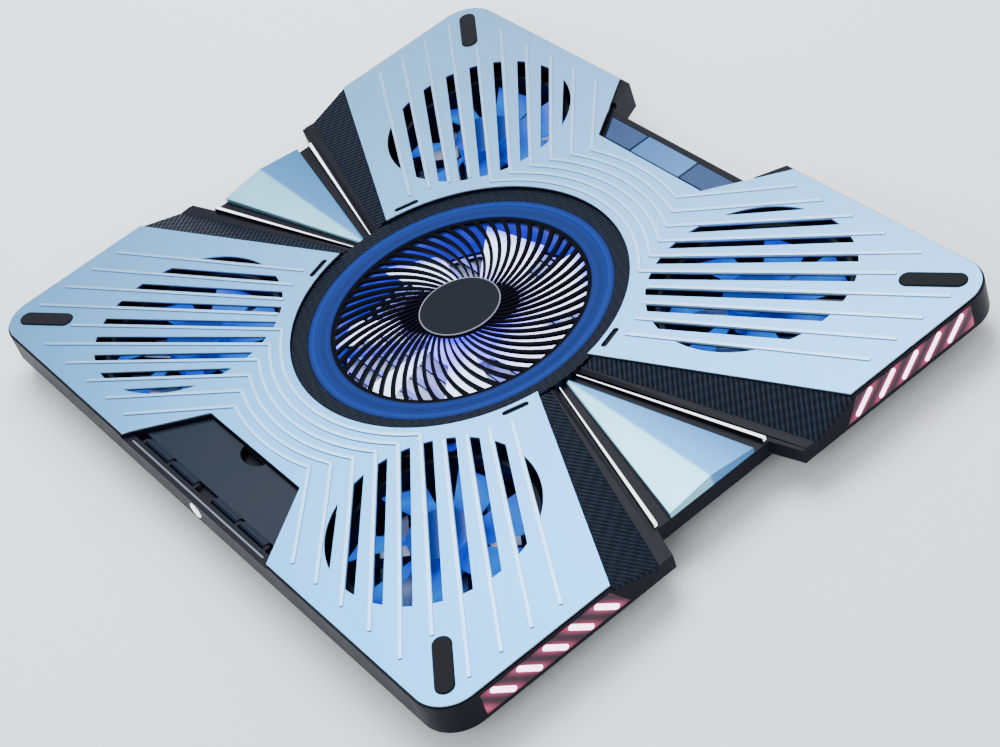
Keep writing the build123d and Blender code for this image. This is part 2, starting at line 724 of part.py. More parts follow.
def make_bottom_shell():
    """Lower half of the case: tapered tray with intake grilles, leg pockets and foot seats."""
    inside = case_taper(shell_side_wall) & block(-300, 300, -300, 300, floor_top, split_height + 1)
    shell = case_taper(0) - inside
    for sx in (1, -1):
        shell += in_quadrant(leg_pocket(leg_pocket_wall), sx, 1)
        shell -= in_quadrant(leg_pocket(0), sx, 1)
        half = leg_width / 2 + moving_gap + leg_pocket_wall
        x = sx * leg_x
        shell -= rod_x(leg_pin_radius + 0.02, x - half + 0.4, x + half - 0.4, leg_hinge_y, leg_hinge_z)
    vent_margin = 3.0
    for index, (x, y, radius) in enumerate(fan_places()):
        shell -= vent(radius - vent_margin, x, y, 0 if index == 0 else slot_angle * (1 if x * y > 0 else -1))
        for ex, ey in ear_places(x, y, radius):
            shell -= disc(fan_screw_radius + 0.05, floor_bottom + 0.3, floor_top + 1, ex, ey)
    for sx, sy in all_quadrants:
        shell -= Pos(sx * foot_x, sy * foot_y, floor_bottom) * extrude(
            SlotOverall(foot_length + 2 * seat_gap, foot_width + 2 * seat_gap), foot_sink)
        for x, y in screw_places:
            shell -= disc(screw_radius + edge_gap / 2, floor_bottom - 1, floor_top + 1, sx * x, sy * y)
            head = screw_head_radius + edge_gap / 2
            shell -= disc(head, floor_bottom - 1, floor_bottom + screw_head_height, sx * x, sy * y)
    return shell


def make_rubber_feet():
    """Four long feet, half sunk into the floor."""
    foot = extrude(SlotOverall(foot_length, foot_width), foot_height + foot_sink)
    return [Pos(sx * foot_x, sy * foot_y, 0) * foot for sx, sy in all_quadrants]


def make_case_screws():
    """Screws that hold the two halves of the case together."""
    screws = []
    for sx, sy in all_quadrants:
        for x, y in screw_places:
            head = disc(screw_head_radius, floor_bottom + 0.2, floor_bottom + screw_head_height, sx * x, sy * y)
            screws.append(head + disc(screw_radius, floor_bottom + 0.2, screw_tip, sx * x, sy * y))
    return screws


def make_fan_screws():
    """Screws through the ears of every fan into the floor."""
    screws = []
    for x, y, radius in fan_places():
        for ex, ey in ear_places(x, y, radius):
            head = disc(fan_screw_head, fan_base_top, fan_base_top + screw_head_height, ex, ey)
            screws.append(head + disc(fan_screw_radius, floor_bottom + 0.4, fan_base_top, ex, ey))
    return screws


# --- middle ----------------------------------------------------------------------------------------
def make_centre_bezel():
    """Dark collar round the light ring, sunk a little under the plate."""
    outer, inner = ring_radius, bezel_inner_radius
    base = ledge_height + ledge_thickness
    top_out, top_in = plate_top - bezel_drop_outer, plate_top - bezel_drop_inner
    return turned([(outer, base), (outer, top_out), (inner, top_in), (inner, top_in - 1.6),
                   (outer - bezel_skirt, top_out - 1.8), (outer - bezel_skirt, base)])


def make_light_ring():
    """Clear ring that glows round the grille and carries the grille on its inner lip."""
    outer, inner = bezel_inner_radius - seat_gap, light_ring_inner_radius
    top_out, top_in = plate_top - bezel_drop_inner, plate_top - grille_drop + 0.2
    base = main_frame_top + 0.2
    seat = plate_top - grille_drop - grille_thickness
    lip = inner - light_ring_lip
    return turned([(outer, base + 0.6), (outer, top_out), (outer - 3.4, top_out), (outer - 4.4, top_out - 0.7),
                   (inner + 2.4, top_in - 0.4), (inner + 1.6, top_in), (inner, top_in), (inner, seat),
                   (lip, seat), (lip, base), (inner + 5, base), (inner + 5.6, base + 0.6)])


def make_led_board():
    """Ring-shaped circuit board under the light ring, on the deck's ledge."""
    base = ledge_height + ledge_thickness
    inner, outer = ledge_inner_radius + 0.6, ring_radius - bezel_skirt - 0.3
    return tube(outer, inner, base, base + led_board_thickness)


def grille_rib(inner, outer, z0):
    """One rib of the spiral grille, as wide in angle at its tip as at its root."""
    half = 180.0 / rib_count * rib_share
    middle = (inner + outer) / 2

    def edge(offset):
        points = []
        for radius, share in ((inner, 0.0), (middle, 0.56), (outer, 1.0)):
            angle = radians(rib_turn * share + offset)
            points.append((radius * cos(angle), radius * sin(angle)))
        return points

    right, left = edge(-half), edge(half)
    face = make_face([ThreePointArc(*right), Line(right[2], left[2]), ThreePointArc(*left), Line(left[0], right[0])])
    return Pos(0, 0, z0) * extrude(face, grille_thickness)


def make_spiral_grille():
    """Round guard of curved ribs over the main fan."""
    z1 = plate_top - grille_drop
    z0 = z1 - grille_thickness
    outer = light_ring_inner_radius - seat_gap
    rib = grille_rib(hub_cap_radius - 1, outer - grille_rim / 2, z0)
    ribs = [Rot(0, 0, index * 360 / rib_count) * rib for index in range(rib_count)]
    return disc(hub_cap_radius, z0, z1) + tube(outer, outer - grille_rim, z0, z1) + ribs


def make_hub_cap():
    """Smooth disc on the middle of the grille."""
    base = plate_top - grille_drop
    cap = disc(hub_cap_radius - 0.3, base, base + hub_cap_thickness)
    return chamfer(cap.edges().group_by(Axis.Z)[-1], 0.3)


# --- fans ------------------------------------------------------------------------------------------
def rotor_heights(frame_top):
    """Lowest and highest level of a fan's rotor."""
    return fan_base_top + 0.8, frame_top - 1.2


def make_fan_frame(x, y, radius, frame_top, hub_radius):
    """Duct ring with a motor base, struts and ears, standing on the floor."""
    frame = tube(radius + fan_frame_wall, radius, floor_top, frame_top)
    frame += disc(hub_radius, floor_top, fan_base_top)
    reach = radius + fan_frame_wall / 2
    for angle in (45, 135):
        frame += Pos(0, 0, floor_top + fan_base_thickness / 2) * Rot(0, 0, angle) * Box(
            2 * reach, strut_width, fan_base_thickness)
    for ex, ey in ear_places(0, 0, radius):
        frame += disc(ear_radius, floor_top, fan_base_top, ex, ey)
        frame -= disc(fan_screw_radius + 0.15, floor_top - 1, fan_base_top + 1, ex, ey)
    sleeve_top = rotor_heights(frame_top)[1] - fan_hub_wall - 0.6
    frame += disc(fan_sleeve_radius, fan_base_top - 0.5, sleeve_top)
    frame -= disc(fan_shaft_radius + running_gap, fan_base_top, sleeve_top + 1)
    return Pos(x, y, 0) * frame


def make_fan_stator(x, y, frame_top, hub_radius):
    """Motor winding that sits inside the rotor's hub."""
    top = rotor_heights(frame_top)[1] - fan_hub_wall - 1.2
    outer = hub_radius - fan_hub_wall - 1.2
    return tube(outer, fan_sleeve_radius + 0.1, fan_base_top, top, x, y)


def fan_blade(hub_radius, tip_radius, z0, z1):
    """Twisted, swept blade along +X, rooted inside the hub."""
    middle, room = (z0 + z1) / 2, z1 - z0
    sections = []
    for radius, chord, pitch, sweep in ((hub_radius - 4, 0.85, 42, 0.0), (tip_radius, 0.52, 20, blade_sweep)):
        length = min(chord * radius, (room - 1.5) / sin(radians(pitch)))
        plane = Plane(origin=(0, 0, 0), x_dir=(0, 1, 0), z_dir=(1, 0, 0))
        section = plane * Rot(0, 0, pitch) * Rectangle(length, blade_thickness)
        sections.append(Rot(0, 0, sweep) * Pos(radius, 0, middle) * section)
    return loft(sections, ruled=True)


def make_fan_rotor(x, y, radius, frame_top, hub_radius):
    """Hub cup with its shaft and a ring of blades."""
    z0, z1 = rotor_heights(frame_top)
    blade = fan_blade(hub_radius, radius - blade_tip_gap - 1.2, z0, z1)
    rotor = disc(hub_radius, z0, z1)
    rotor += [Rot(0, 0, index * 360 / fan_blades) * blade for index in range(fan_blades)]
    rotor -= disc(hub_radius - fan_hub_wall, z0 - 1, z1 - fan_hub_wall)
    rotor += disc(fan_shaft_radius, fan_base_top + 1, z1 - fan_hub_wall / 2)
    return Pos(x, y, 0) * rotor


# --- front flap and button -------------------------------------------------------------------------
def make_front_flap():
    """Flip-up stop for the laptop, with knuckles along its outer edge."""
    top = plate_top - flap_drop
    bottom = top - flap_thickness
    slope = (recess_outer_half - recess_inner_half) / recess_depth
    inner_y = plate_width / 2 - recess_depth
    near = recess_inner_half + (flap_inner_y - inner_y) * slope - 1.2
    edge_y = flap_hinge_y - flap_barrel_radius
    far = near + (edge_y - flap_inner_y) * slope
    flap = prism([(-near, -flap_inner_y), (near, -flap_inner_y), (far, -edge_y), (-far, -edge_y)], bottom, top)
    notch = Pos(0, -flap_inner_y, bottom - 1) * extrude(Ellipse(flap_finger_half, flap_finger_depth), 5)
    flap -= notch
    hinge_z = plate_top - flap_hinge_drop
    low, high = knuckle_split - post_thickness / 2, knuckle_split + post_thickness / 2
    for sx in (1, -1):
        for start, end in ((knuckle_start, low), (high, knuckle_end)):
            x0, x1 = sorted((sx * (start + moving_gap), sx * (end - moving_gap)))
            flap += rod_x(flap_barrel_radius, x0, x1, -flap_hinge_y, hinge_z)
            flap += block(x0, x1, -flap_hinge_y, -edge_y + 0.5, bottom, top - 0.3)
        x0, x1 = sorted((sx * knuckle_start, sx * knuckle_end))
        flap -= rod_x(flap_pin_radius + running_gap, x0 - 1, x1 + 1, -flap_hinge_y, hinge_z)
    return flap


def make_flap_pins():
    """Two steel pins through the flap's knuckles and posts."""
    hinge_z = plate_top - flap_hinge_drop
    pins = []
    for sx in (1, -1):
        x0, x1 = sorted((sx * (knuckle_start - post_thickness + 0.2), sx * (knuckle_end + post_thickness - 0.2)))
        pins.append(rod_x(flap_pin_radius, x0, x1, -flap_hinge_y, hinge_z))
    return pins


def make_power_button():
    """Round push button in the front sill, with its stem."""
    z = plate_top - button_drop
    face = -case_half_y - 0.4
    button = rod_y(button_radius, face, face + button_depth, 0, z)
    button = fillet(button.edges().group_by(Axis.Y)[0], 0.4)
    stem_end = -flap_recess_front_y + 1.6
    return button + rod_y(button_stem_radius, face + button_depth - 0.2, stem_end, 0, z)


def make_power_switch():
    """Small switch under the flap's floor, behind the button's stem."""
    z = plate_top - button_drop
    stem_end = -flap_recess_front_y + 1.6
    start = stem_end + button_travel + 0.3
    half = switch_size / 2
    body = block(-half, half, start + 0.6, start + 4.0, z - half, z + button_stem_radius)
    return body + rod_y(1.2, start, start + 1, 0, z - 0.2)


# --- rear keys, display and sockets ----------------------------------------------------------------
def make_key(sx):
    """Rear key: a cap through the panel and a flange that keeps it in."""
    top = plate_top - key_drop
    under = plate_top - key_panel_drop - key_panel_thickness - 0.1
    cap = prism(key_plan(sx), under - 0.2, top)
    cap = chamfer(cap.edges().group_by(Axis.Z)[-1], 0.3)
    return cap + prism(key_plan(sx, edge_gap + key_flange), under - key_flange, under)


def make_display_window():
    """Window between the keys, flush with them."""
    top = plate_top - key_drop
    base = plate_top - key_panel_drop - key_panel_thickness
    return block(-display_half, display_half, key_near_y, key_far_y, base, top)


def make_display_module():
    """Display under the window, standing on the control board."""
    board_top = plate_top - board_drop
    top = plate_top - key_panel_drop - key_panel_thickness
    gap = key_flange + edge_gap + 0.6
    half = key_inner_x - gap - 0.6
    return block(-half, half, key_near_y + 0.6, key_far_y - 1.0, board_top, top)


def make_control_board():
    """Board under the keys, with a switch for each key."""
    top = plate_top - board_drop
    far_y = rear_notch_y - case_wall - 0.3
    board = block(-recess_inner_half + 1, recess_inner_half - 1, key_near_y - 1, far_y, top - board_thickness, top)
    y = (key_near_y + key_far_y) / 2
    press = plate_top - key_panel_drop - key_panel_thickness - 0.1 - key_flange - key_travel - 0.3
    for sx in (1, -1):
        board += block(sx * 30 - 3, sx * 30 + 3, y - 3, y + 3, top, press)
    return board


def make_usb_socket(sx):
    """Power socket on the rear notch's wall, hung under the board, with its tongue."""
    top = plate_top - board_drop - board_thickness
    y1 = rear_notch_y + 0.2
    x = sx * socket_x
    half, bottom = socket_width / 2, top - socket_height
    shell = block(x - half, x + half, y1 - socket_length, y1, bottom, top)
    inner = half - socket_wall
    shell -= block(x - inner, x + inner, y1 - socket_length + 2, y1 + 1, bottom + socket_wall, top - socket_wall)
    tongue_top = top - socket_wall - 0.5
    tongue = block(x - inner + 0.7, x + inner - 0.7, y1 - socket_length + 1, y1 - 3, tongue_top - socket_tongue, tongue_top)
    return shell + tongue


# --- lights and pads -------------------------------------------------------------------------------
def light_bar(index, grow=0.0):
    """One slanted bar of the +X, +Y side light, as a block through the lens."""
    y = bar_first + index * bar_pitch
    rise = bar_drop_bottom - bar_drop_top - bar_width
    run = bar_slant - bar_width
    z = plate_top - (bar_drop_top + bar_drop_bottom) / 2
    angle = degrees(atan2(rise, run))
    bar = SlotOverall(hypot(rise, run) + bar_width + 2 * grow, bar_width + 2 * grow)
    plane = Plane(origin=(case_half_x - lens_thickness, y, z), x_dir=(0, 1, 0), z_dir=(1, 0, 0))
    return extrude(plane * Rot(0, 0, angle) * bar, lens_thickness + 0.3)


def make_side_lens(sx, sy):
    """Smoked lens in the end wall, with an opening for each light bar."""
    lens = lens_window(0.0, lens_thickness, 0.2)
    for index in range(bar_count):
        lens -= light_bar(index, 0.05)
    return in_quadrant(lens, sx, sy)


def make_side_lights(sx, sy):
    """Row of slanted light bars in one lens."""
    return [in_quadrant(light_bar(index), sx, sy) for index in range(bar_count)]


def make_corner_pad(sx, sy):
    """Rubber pad near a corner of the plate."""
    pad = Pos(0, 0, deck_top) * extrude(corner_pad_plan(), plate_thickness + pad_proud)
    return in_quadrant(fillet(pad.edges().group_by(Axis.Z)[-1], 0.5), sx, sy)


# --- stand legs ------------------------------------------------------------------------------------
def make_stand_leg(sx):
    """Fold-out leg under a rear corner, lying in its pocket."""
    half = leg_width / 2
    z0, z1 = leg_hinge_z - leg_thickness / 2, leg_hinge_z + leg_thickness / 2
    leg = block(leg_x - half, leg_x + half, leg_hinge_y - leg_length, leg_hinge_y, z0, z1)
    leg = fillet(leg.edges().filter_by(Axis.Z).group_by(Axis.Y)[0], 4.0)
    leg += rod_x(leg_thickness / 2, leg_x - half, leg_x + half, leg_hinge_y, leg_hinge_z)
    leg -= rod_x(leg_pin_radius + running_gap, leg_x - half - 1, leg_x + half + 1, leg_hinge_y, leg_hinge_z)
    return in_quadrant(leg, sx, 1)


def make_leg_pins():
    """Hinge pins of the two stand legs."""
    half = leg_width / 2 + moving_gap + leg_pocket_wall - 0.5
    return [rod_x(leg_pin_radius, sx * leg_x - half, sx * leg_x + half, leg_hinge_y, leg_hinge_z) for sx in (1, -1)]


# --- writing the nodes -----------------------------------------------------------------------------
def group(shapes):
    """Several separate solids in one node."""
    return Compound(children=[solid for shape in shapes for solid in shape.solids()])


def write(node, shape):
    """Write one node to its own file."""
    solids = shape.solids()
    export_step(group(solids) if len(solids) > 1 else solids[0], f"parts/{node}.step")


def main():
    os.makedirs("parts", exist_ok=True)
    write("bottom_shell", make_bottom_shell())
    write("deck", make_deck())
    front_plate, rear_plate = make_top_plates()
    write("top_plate_front", front_plate)
    write("top_plate_rear", rear_plate)
    write("centre_bezel", make_centre_bezel())
    write("light_ring", make_light_ring())
    write("led_board", make_led_board())
    write("spiral_grille", make_spiral_grille())
    write("hub_cap", make_hub_cap())
    for sx, sy in all_quadrants:
        name = side_name(sx, sy)
        x, y = sx * small_fan_x, sy * small_fan_y
        write(f"wedge_panel_{name}", make_wedge_panel(sx, sy))
        write(f"wedge_light_{name}", make_wedge_light(sx, sy))
        write(f"side_lens_{name}", make_side_lens(sx, sy))
        write(f"side_lights_{name}", group(make_side_lights(sx, sy)))
        write(f"corner_pad_{name}", make_corner_pad(sx, sy))
        write(f"fan_frame_{name}", make_fan_frame(x, y, small_fan_radius, small_frame_top, small_hub_radius))
        write(f"fan_rotor_{name}", make_fan_rotor(x, y, small_fan_radius, small_frame_top, small_hub_radius))
    stators = [make_fan_stator(sx * small_fan_x, sy * small_fan_y, small_frame_top, small_hub_radius)
               for sx, sy in all_quadrants]
    write("small_fan_stators", group(stators))
    write("main_fan_frame", make_fan_frame(0, 0, main_fan_radius, main_frame_top, main_hub_radius))
    write("main_fan_stator", make_fan_stator(0, 0, main_frame_top, main_hub_radius))
    write("main_fan_rotor", make_fan_rotor(0, 0, main_fan_radius, main_frame_top, main_hub_radius))
    write("ridge_cover_right", make_ridge_cover(1))
    write("ridge_cover_left", make_ridge_cover(-1))
    write("front_flap", make_front_flap())
    write("flap_pins", group(make_flap_pins()))
    write("power_button", make_power_button())
    write("power_switch", make_power_switch())
    for sx, side in ((1, "right"), (-1, "left")):
        write(f"key_{side}", make_key(sx))
        write(f"usb_socket_{side}", make_usb_socket(sx))
        write(f"stand_leg_{side}", make_stand_leg(sx))
    write("leg_pins", group(make_leg_pins()))
    write("display_window", make_display_window())
    write("display_module", make_display_module())
    write("control_board", make_control_board())
    write("rubber_feet", group(make_rubber_feet()))
    write("case_screws", group(make_case_screws()))
    write("fan_screws", group(make_fan_screws()))


main()
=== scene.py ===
"""Looks of a laptop cooling pad: lacquered silver plates over a black case, five lit fans and side lights."""
import json
import logging
from dataclasses import dataclass, field
from enum import Enum
from math import pi, radians
from typing import Sequence

import bpy
from mathutils import Matrix, Vector


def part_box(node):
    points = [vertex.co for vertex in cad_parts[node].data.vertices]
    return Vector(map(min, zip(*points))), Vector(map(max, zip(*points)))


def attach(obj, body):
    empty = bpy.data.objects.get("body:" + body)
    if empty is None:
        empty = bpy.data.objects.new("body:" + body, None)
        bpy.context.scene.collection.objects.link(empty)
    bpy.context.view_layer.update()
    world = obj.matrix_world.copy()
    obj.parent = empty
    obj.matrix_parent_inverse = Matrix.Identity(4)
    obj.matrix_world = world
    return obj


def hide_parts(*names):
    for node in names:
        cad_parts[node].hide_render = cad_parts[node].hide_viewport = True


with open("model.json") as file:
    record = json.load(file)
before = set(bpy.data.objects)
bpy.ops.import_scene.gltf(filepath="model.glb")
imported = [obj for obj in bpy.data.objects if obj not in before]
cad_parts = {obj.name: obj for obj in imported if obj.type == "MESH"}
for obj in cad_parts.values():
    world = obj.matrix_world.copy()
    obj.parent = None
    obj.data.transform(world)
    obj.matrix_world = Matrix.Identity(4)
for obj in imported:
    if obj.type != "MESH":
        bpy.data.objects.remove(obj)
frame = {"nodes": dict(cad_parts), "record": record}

log = logging.getLogger("cooling_pad")
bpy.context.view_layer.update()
MM = 0.001
CORNERS = ("right_rear", "right_front", "left_rear", "left_front")
Color = tuple[float, float, float]
NodeSocket = bpy.types.NodeSocket


class Slot(str, Enum):
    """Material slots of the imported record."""

    PLATE = "brushed_plate"
    COVER = "silver_cover"
    CASE = "black_case"
    PANEL = "textured_panel"
    BLUE = "blue_light"
    WHITE = "white_light"
    PINK = "pink_light"
    LENS = "smoked_lens"
    RUBBER = "soft_rubber"
    BLADES = "lit_blades"
    FAN = "fan_plastic"
    SLATE = "slate_gloss"
    DISPLAY = "display_glass"
    STEEL = "steel"


# --- node helpers ----------------------------------------------------------------------------------
class Graph:
    """Short calls for wiring one shader node tree."""

    def __init__(self, tree: bpy.types.NodeTree) -> None:
        """Take over a tree.

        Args:
            tree: the node tree to wire.
        """
        self.tree = tree

    def add(self, kind: str, **values: object) -> bpy.types.Node:
        """Add a node and set its properties.

        Args:
            kind: the node's type name without "ShaderNode".
            values: properties of the node.

        Returns:
            The new node.
        """
        node = self.tree.nodes.new("ShaderNode" + kind)
        for name, value in values.items():
            setattr(node, name, value)
        return node

    def put(self, socket: NodeSocket, value: object) -> None:
        """Give an input a link or a plain value.

        Args:
            socket: the input to fill.
            value: an output to link, or a value to set.
        """
        if isinstance(value, NodeSocket):
            self.tree.links.new(value, socket)
        else:
            socket.default_value = value

    def math(self, operation: str, a: object, b: object = 0.0, clamp: bool = False) -> NodeSocket:
        """One Math node.

        Args:
            operation: the Math node's operation.
            a: first value or socket.
            b: second value or socket.
            clamp: whether the result is kept between 0 and 1.

        Returns:
            The node's output.
        """
        node = self.add("Math", operation=operation, use_clamp=clamp)
        self.put(node.inputs[0], a)
        self.put(node.inputs[1], b)
        return node.outputs[0]

    def axes(self) -> tuple[NodeSocket, NodeSocket, NodeSocket, NodeSocket]:
        """Object coordinates in millimetres.

        Returns:
            The scaled vector and its three parts.
        """
        coords = self.add("TexCoord")
        scaled = self.add("VectorMath", operation="SCALE")
        self.put(scaled.inputs[0], coords.outputs["Object"])
        scaled.inputs["Scale"].default_value = 1.0 / MM
        split = self.add("SeparateXYZ")
        self.put(split.inputs[0], scaled.outputs[0])
        return scaled.outputs[0], split.outputs[0], split.outputs[1], split.outputs[2]

    def ramp(self, value: object, stops: Sequence[tuple[float, Color]]) -> NodeSocket:
        """Colour ramp through several stops.

        Args:
            value: the position on the ramp.
            stops: positions and colours.

        Returns:
            The ramp's colour.
        """
        node = self.add("ValToRGB")
        elements = node.color_ramp.elements
        while len(elements) < len(stops):
            elements.new(0.5)
        for element, (place, color) in zip(elements, stops):
            element.position = place
            element.color = (*color, 1.0)
        self.put(node.inputs[0], value)
        return node.outputs[0]

    def mix(self, share: object, a: object, b: object) -> NodeSocket:
        """Mix two colours by a share.

        Args:
            share: how much of the second colour shows, from 0 to 1.
            a: first colour or socket.
            b: second colour or socket.

        Returns:
            The mixed colour.
        """
        node = self.add("Mix", data_type="RGBA")
        self.put(node.inputs[0], share)
        for socket, value in ((node.inputs[6], a), (node.inputs[7], b)):
            self.put(socket, (*value, 1.0) if isinstance(value, tuple) else value)
        return node.outputs[2]


def group(
    name: str, inputs: Sequence[tuple[str, float]], outputs: Sequence[str]
) -> tuple[Graph, dict[str, NodeSocket]]:
    """Start a shader node group.

    Args:
        name: the group's name.
        inputs: names and defaults of its number inputs.
        outputs: names of its number outputs.

    Returns:
        The group's graph, and its inside sockets by name.
    """
    tree = bpy.data.node_groups.new(name, "ShaderNodeTree")
    for label, value in inputs:
        socket = tree.interface.new_socket(label, in_out="INPUT", socket_type="NodeSocketFloat")
        socket.default_value = value
    for label in outputs:
        tree.interface.new_socket(label, in_out="OUTPUT", socket_type="NodeSocketFloat")
    graph = Graph(tree)
    start, end = tree.nodes.new("NodeGroupInput"), tree.nodes.new("NodeGroupOutput")
    sockets = {label: start.outputs[label] for label, _ in inputs}
    sockets.update({label: end.inputs[label] for label in outputs})
    return graph, sockets


def grain_group() -> bpy.types.NodeTree:
    """Fine moulding grain: a height and a slow mottling mask.

    Returns:
        The group's node tree.
    """
    graph, io = group("Fine grain", [("Scale", 6.0), ("Mottle scale", 0.05)], ["Height", "Mottle"])
    vector = graph.axes()[0]
    for label, scale, detail in (("Height", "Scale", 2.0), ("Mottle", "Mottle scale", 4.0)):
        noise = graph.add("TexNoise")
        noise.inputs["Detail"].default_value = detail
        graph.put(noise.inputs["Vector"], vector)
        graph.put(noise.inputs["Scale"], io[scale])
        graph.put(io[label], noise.outputs[0])
    return graph.tree


def brushed_group() -> bpy.types.NodeTree:
    """Long scratches across the pad, for brushed metal.

    Returns:
        The group's node tree.
    """
    depth_stretch, band_scale, detail = 0.3, 0.05, 3.0
    inputs = [("Angle", 0.6), ("Stretch", 0.02), ("Scale", 4.0)]
    graph, io = group("Brushed metal", inputs, ["Lines", "Bands"])
    vector = graph.axes()[0]
    turn = graph.add("VectorRotate", rotation_type="Z_AXIS")
    graph.put(turn.inputs["Vector"], vector)
    graph.put(turn.inputs["Angle"], io["Angle"])
    stretch = graph.add("CombineXYZ")
    graph.put(stretch.inputs[0], io["Stretch"])
    stretch.inputs[1].default_value = 1.0
    stretch.inputs[2].default_value = depth_stretch
    product = graph.add("VectorMath", operation="MULTIPLY")
    graph.put(product.inputs[0], turn.outputs[0])
    graph.put(product.inputs[1], stretch.outputs[0])
    for label, factor in (("Lines", 1.0), ("Bands", band_scale)):
        noise = graph.add("TexNoise")
        noise.inputs["Detail"].default_value = detail
        graph.put(noise.inputs["Vector"], product.outputs[0])
        graph.put(noise.inputs["Scale"], graph.math("MULTIPLY", io["Scale"], factor))
        graph.put(io[label], noise.outputs[0])
    return graph.tree


def ribs_group() -> bpy.types.NodeTree:
    """Fine straight ribs at an angle, as pressed into the dark trim.

    Returns:
        The group's node tree.
    """
    cross_pitch, break_height = 2.2, 0.12
    graph, io = group("Fine ribs", [("Angle", 0.8), ("Pitch", 1.6)], ["Height"])
    vector = graph.axes()[0]
    turn = graph.add("VectorRotate", rotation_type="Z_AXIS")
    graph.put(turn.inputs["Vector"], vector)
    graph.put(turn.inputs["Angle"], io["Angle"])
    split = graph.add("SeparateXYZ")
    graph.put(split.inputs[0], turn.outputs[0])
    phase = graph.math("DIVIDE", split.outputs[0], io["Pitch"])
    cross = graph.math("DIVIDE", split.outputs[1], graph.math("MULTIPLY", io["Pitch"], cross_pitch))
    wave = graph.math("SINE", graph.math("MULTIPLY", phase, 2 * pi))
    break_up = graph.math("SINE", graph.math("MULTIPLY", cross, 2 * pi))
    height = graph.math("ADD", graph.math("MULTIPLY", wave, 0.5), 0.5)
    graph.put(io["Height"], graph.math("ADD", height, graph.math("MULTIPLY", break_up, break_height)))
    return graph.tree


def bar_glow_group() -> bpy.types.NodeTree:
    """Glow round the slanted side lights: a mask that fades with the distance from the nearest bar.

    Returns:
        The group's node tree.
    """
    square_on = 0.66  # share of a step along the side that lies square to a slanted bar
    fade_height = 7.5  # distance above and below the bars' middle at which the glow ends
    inputs = [("First", 73.0), ("Pitch", 13.8), ("Slope", 1.135), ("Middle", 21.9), ("Reach", 2.3)]
    graph, io = group("Bar glow", inputs, ["Glow"])
    _, _, y, z = graph.axes()
    level = graph.math("SUBTRACT", z, io["Middle"])
    along = graph.math("SUBTRACT", graph.math("ABSOLUTE", y), graph.math("MULTIPLY", level, io["Slope"]))
    step = graph.math("DIVIDE", graph.math("SUBTRACT", along, io["First"]), io["Pitch"])
    offset = graph.math("SUBTRACT", step, graph.math("ROUND", step))
    span = graph.math("ABSOLUTE", offset)
    distance = graph.math("MULTIPLY", span, graph.math("MULTIPLY", io["Pitch"], square_on))
    reach = graph.math("DIVIDE", distance, io["Reach"])
    near = graph.math("EXPONENT", graph.math("MULTIPLY", graph.math("MULTIPLY", reach, reach), -1.0))
    low = graph.math("DIVIDE", graph.math("ABSOLUTE", level), fade_height)
    fade = graph.math("SUBTRACT", 1.0, graph.math("MULTIPLY", low, low), clamp=True)
    graph.put(io["Glow"], graph.math("MULTIPLY", near, fade))
    return graph.tree


# --- finishes --------------------------------------------------------------------------------------
@dataclass
class Kit:
    """Shader groups that several finishes share."""

    grain: bpy.types.NodeTree = field(default_factory=grain_group)
    brushed: bpy.types.NodeTree = field(default_factory=brushed_group)
    ribs: bpy.types.NodeTree = field(default_factory=ribs_group)
    bar_glow: bpy.types.NodeTree = field(default_factory=bar_glow_group)


class Finish:
    """One material under construction."""

    def __init__(self, name: str) -> None:
        """Start an empty Principled material.

        Args:
            name: the material's name.
        """
        self.material = bpy.data.materials.new(name)
        self.material.use_nodes = True
        self.graph = Graph(self.material.node_tree)
        self.shader = self.material.node_tree.nodes["Principled BSDF"]

    def set(self, **values: object) -> None:
        """Set the shader's inputs.

        Args:
            values: values or sockets by input name, with an underscore for a space.
        """
        for name, value in values.items():
            self.graph.put(self.shader.inputs[name.replace("_", " ")], value)

    def use(self, tree: bpy.types.NodeTree, **values: object) -> bpy.types.Node:
        """Place a shared group in the material with its own values.

        Args:
            tree: the shared group.
            values: values or sockets by input name, with an underscore for a space.

        Returns:
            The group node.
        """
        node = self.graph.add("Group", node_tree=tree)
        for name, value in values.items():
            self.graph.put(node.inputs[name.replace("_", " ")], value)
        return node

    def bump(self, height: NodeSocket, strength: float, distance: float) -> None:
        """Feed a height through a Bump node into the normal.

        Args:
            height: the height to follow.
            strength: the Bump node's strength.
            distance: the relief's depth in metres.
        """
        node = self.graph.add("Bump")
        node.inputs["Strength"].default_value = strength
        node.inputs["Distance"].default_value = distance
        self.graph.put(node.inputs["Height"], height)
        self.graph.put(self.shader.inputs["Normal"], node.outputs[0])


@dataclass(frozen=True)
class PlainFinish:
    """Moulded plastic, rubber or steel with a fine grain."""

    name: str
    color: Color
    light: Color
    roughness: float
    grain: float = 3.0
    bump: float = 0.25
    metallic: float = 0.0
    specular: float = 0.5
    roughness_spread: float = 0.18
    grain_depth: float = 0.05

    def build(self, kit: Kit) -> bpy.types.Material:
        """Make the material.

        Args:
            kit: the shared shader groups.

        Returns:
            The finished material.
        """
        finish = Finish(self.name)
        graph = finish.graph
        grain = finish.use(kit.grain, Scale=self.grain)
        mottle = grain.outputs["Mottle"]
        finish.set(Base_Color=graph.mix(mottle, self.color, self.light), Metallic=self.metallic)
        finish.set(Specular_IOR_Level=self.specular)
        spread = graph.math("MULTIPLY", graph.math("SUBTRACT", mottle, 0.5), self.roughness_spread)
        finish.set(Roughness=graph.math("ADD", spread, self.roughness))
        finish.bump(grain.outputs["Height"], self.bump, self.grain_depth * MM)
        return finish.material


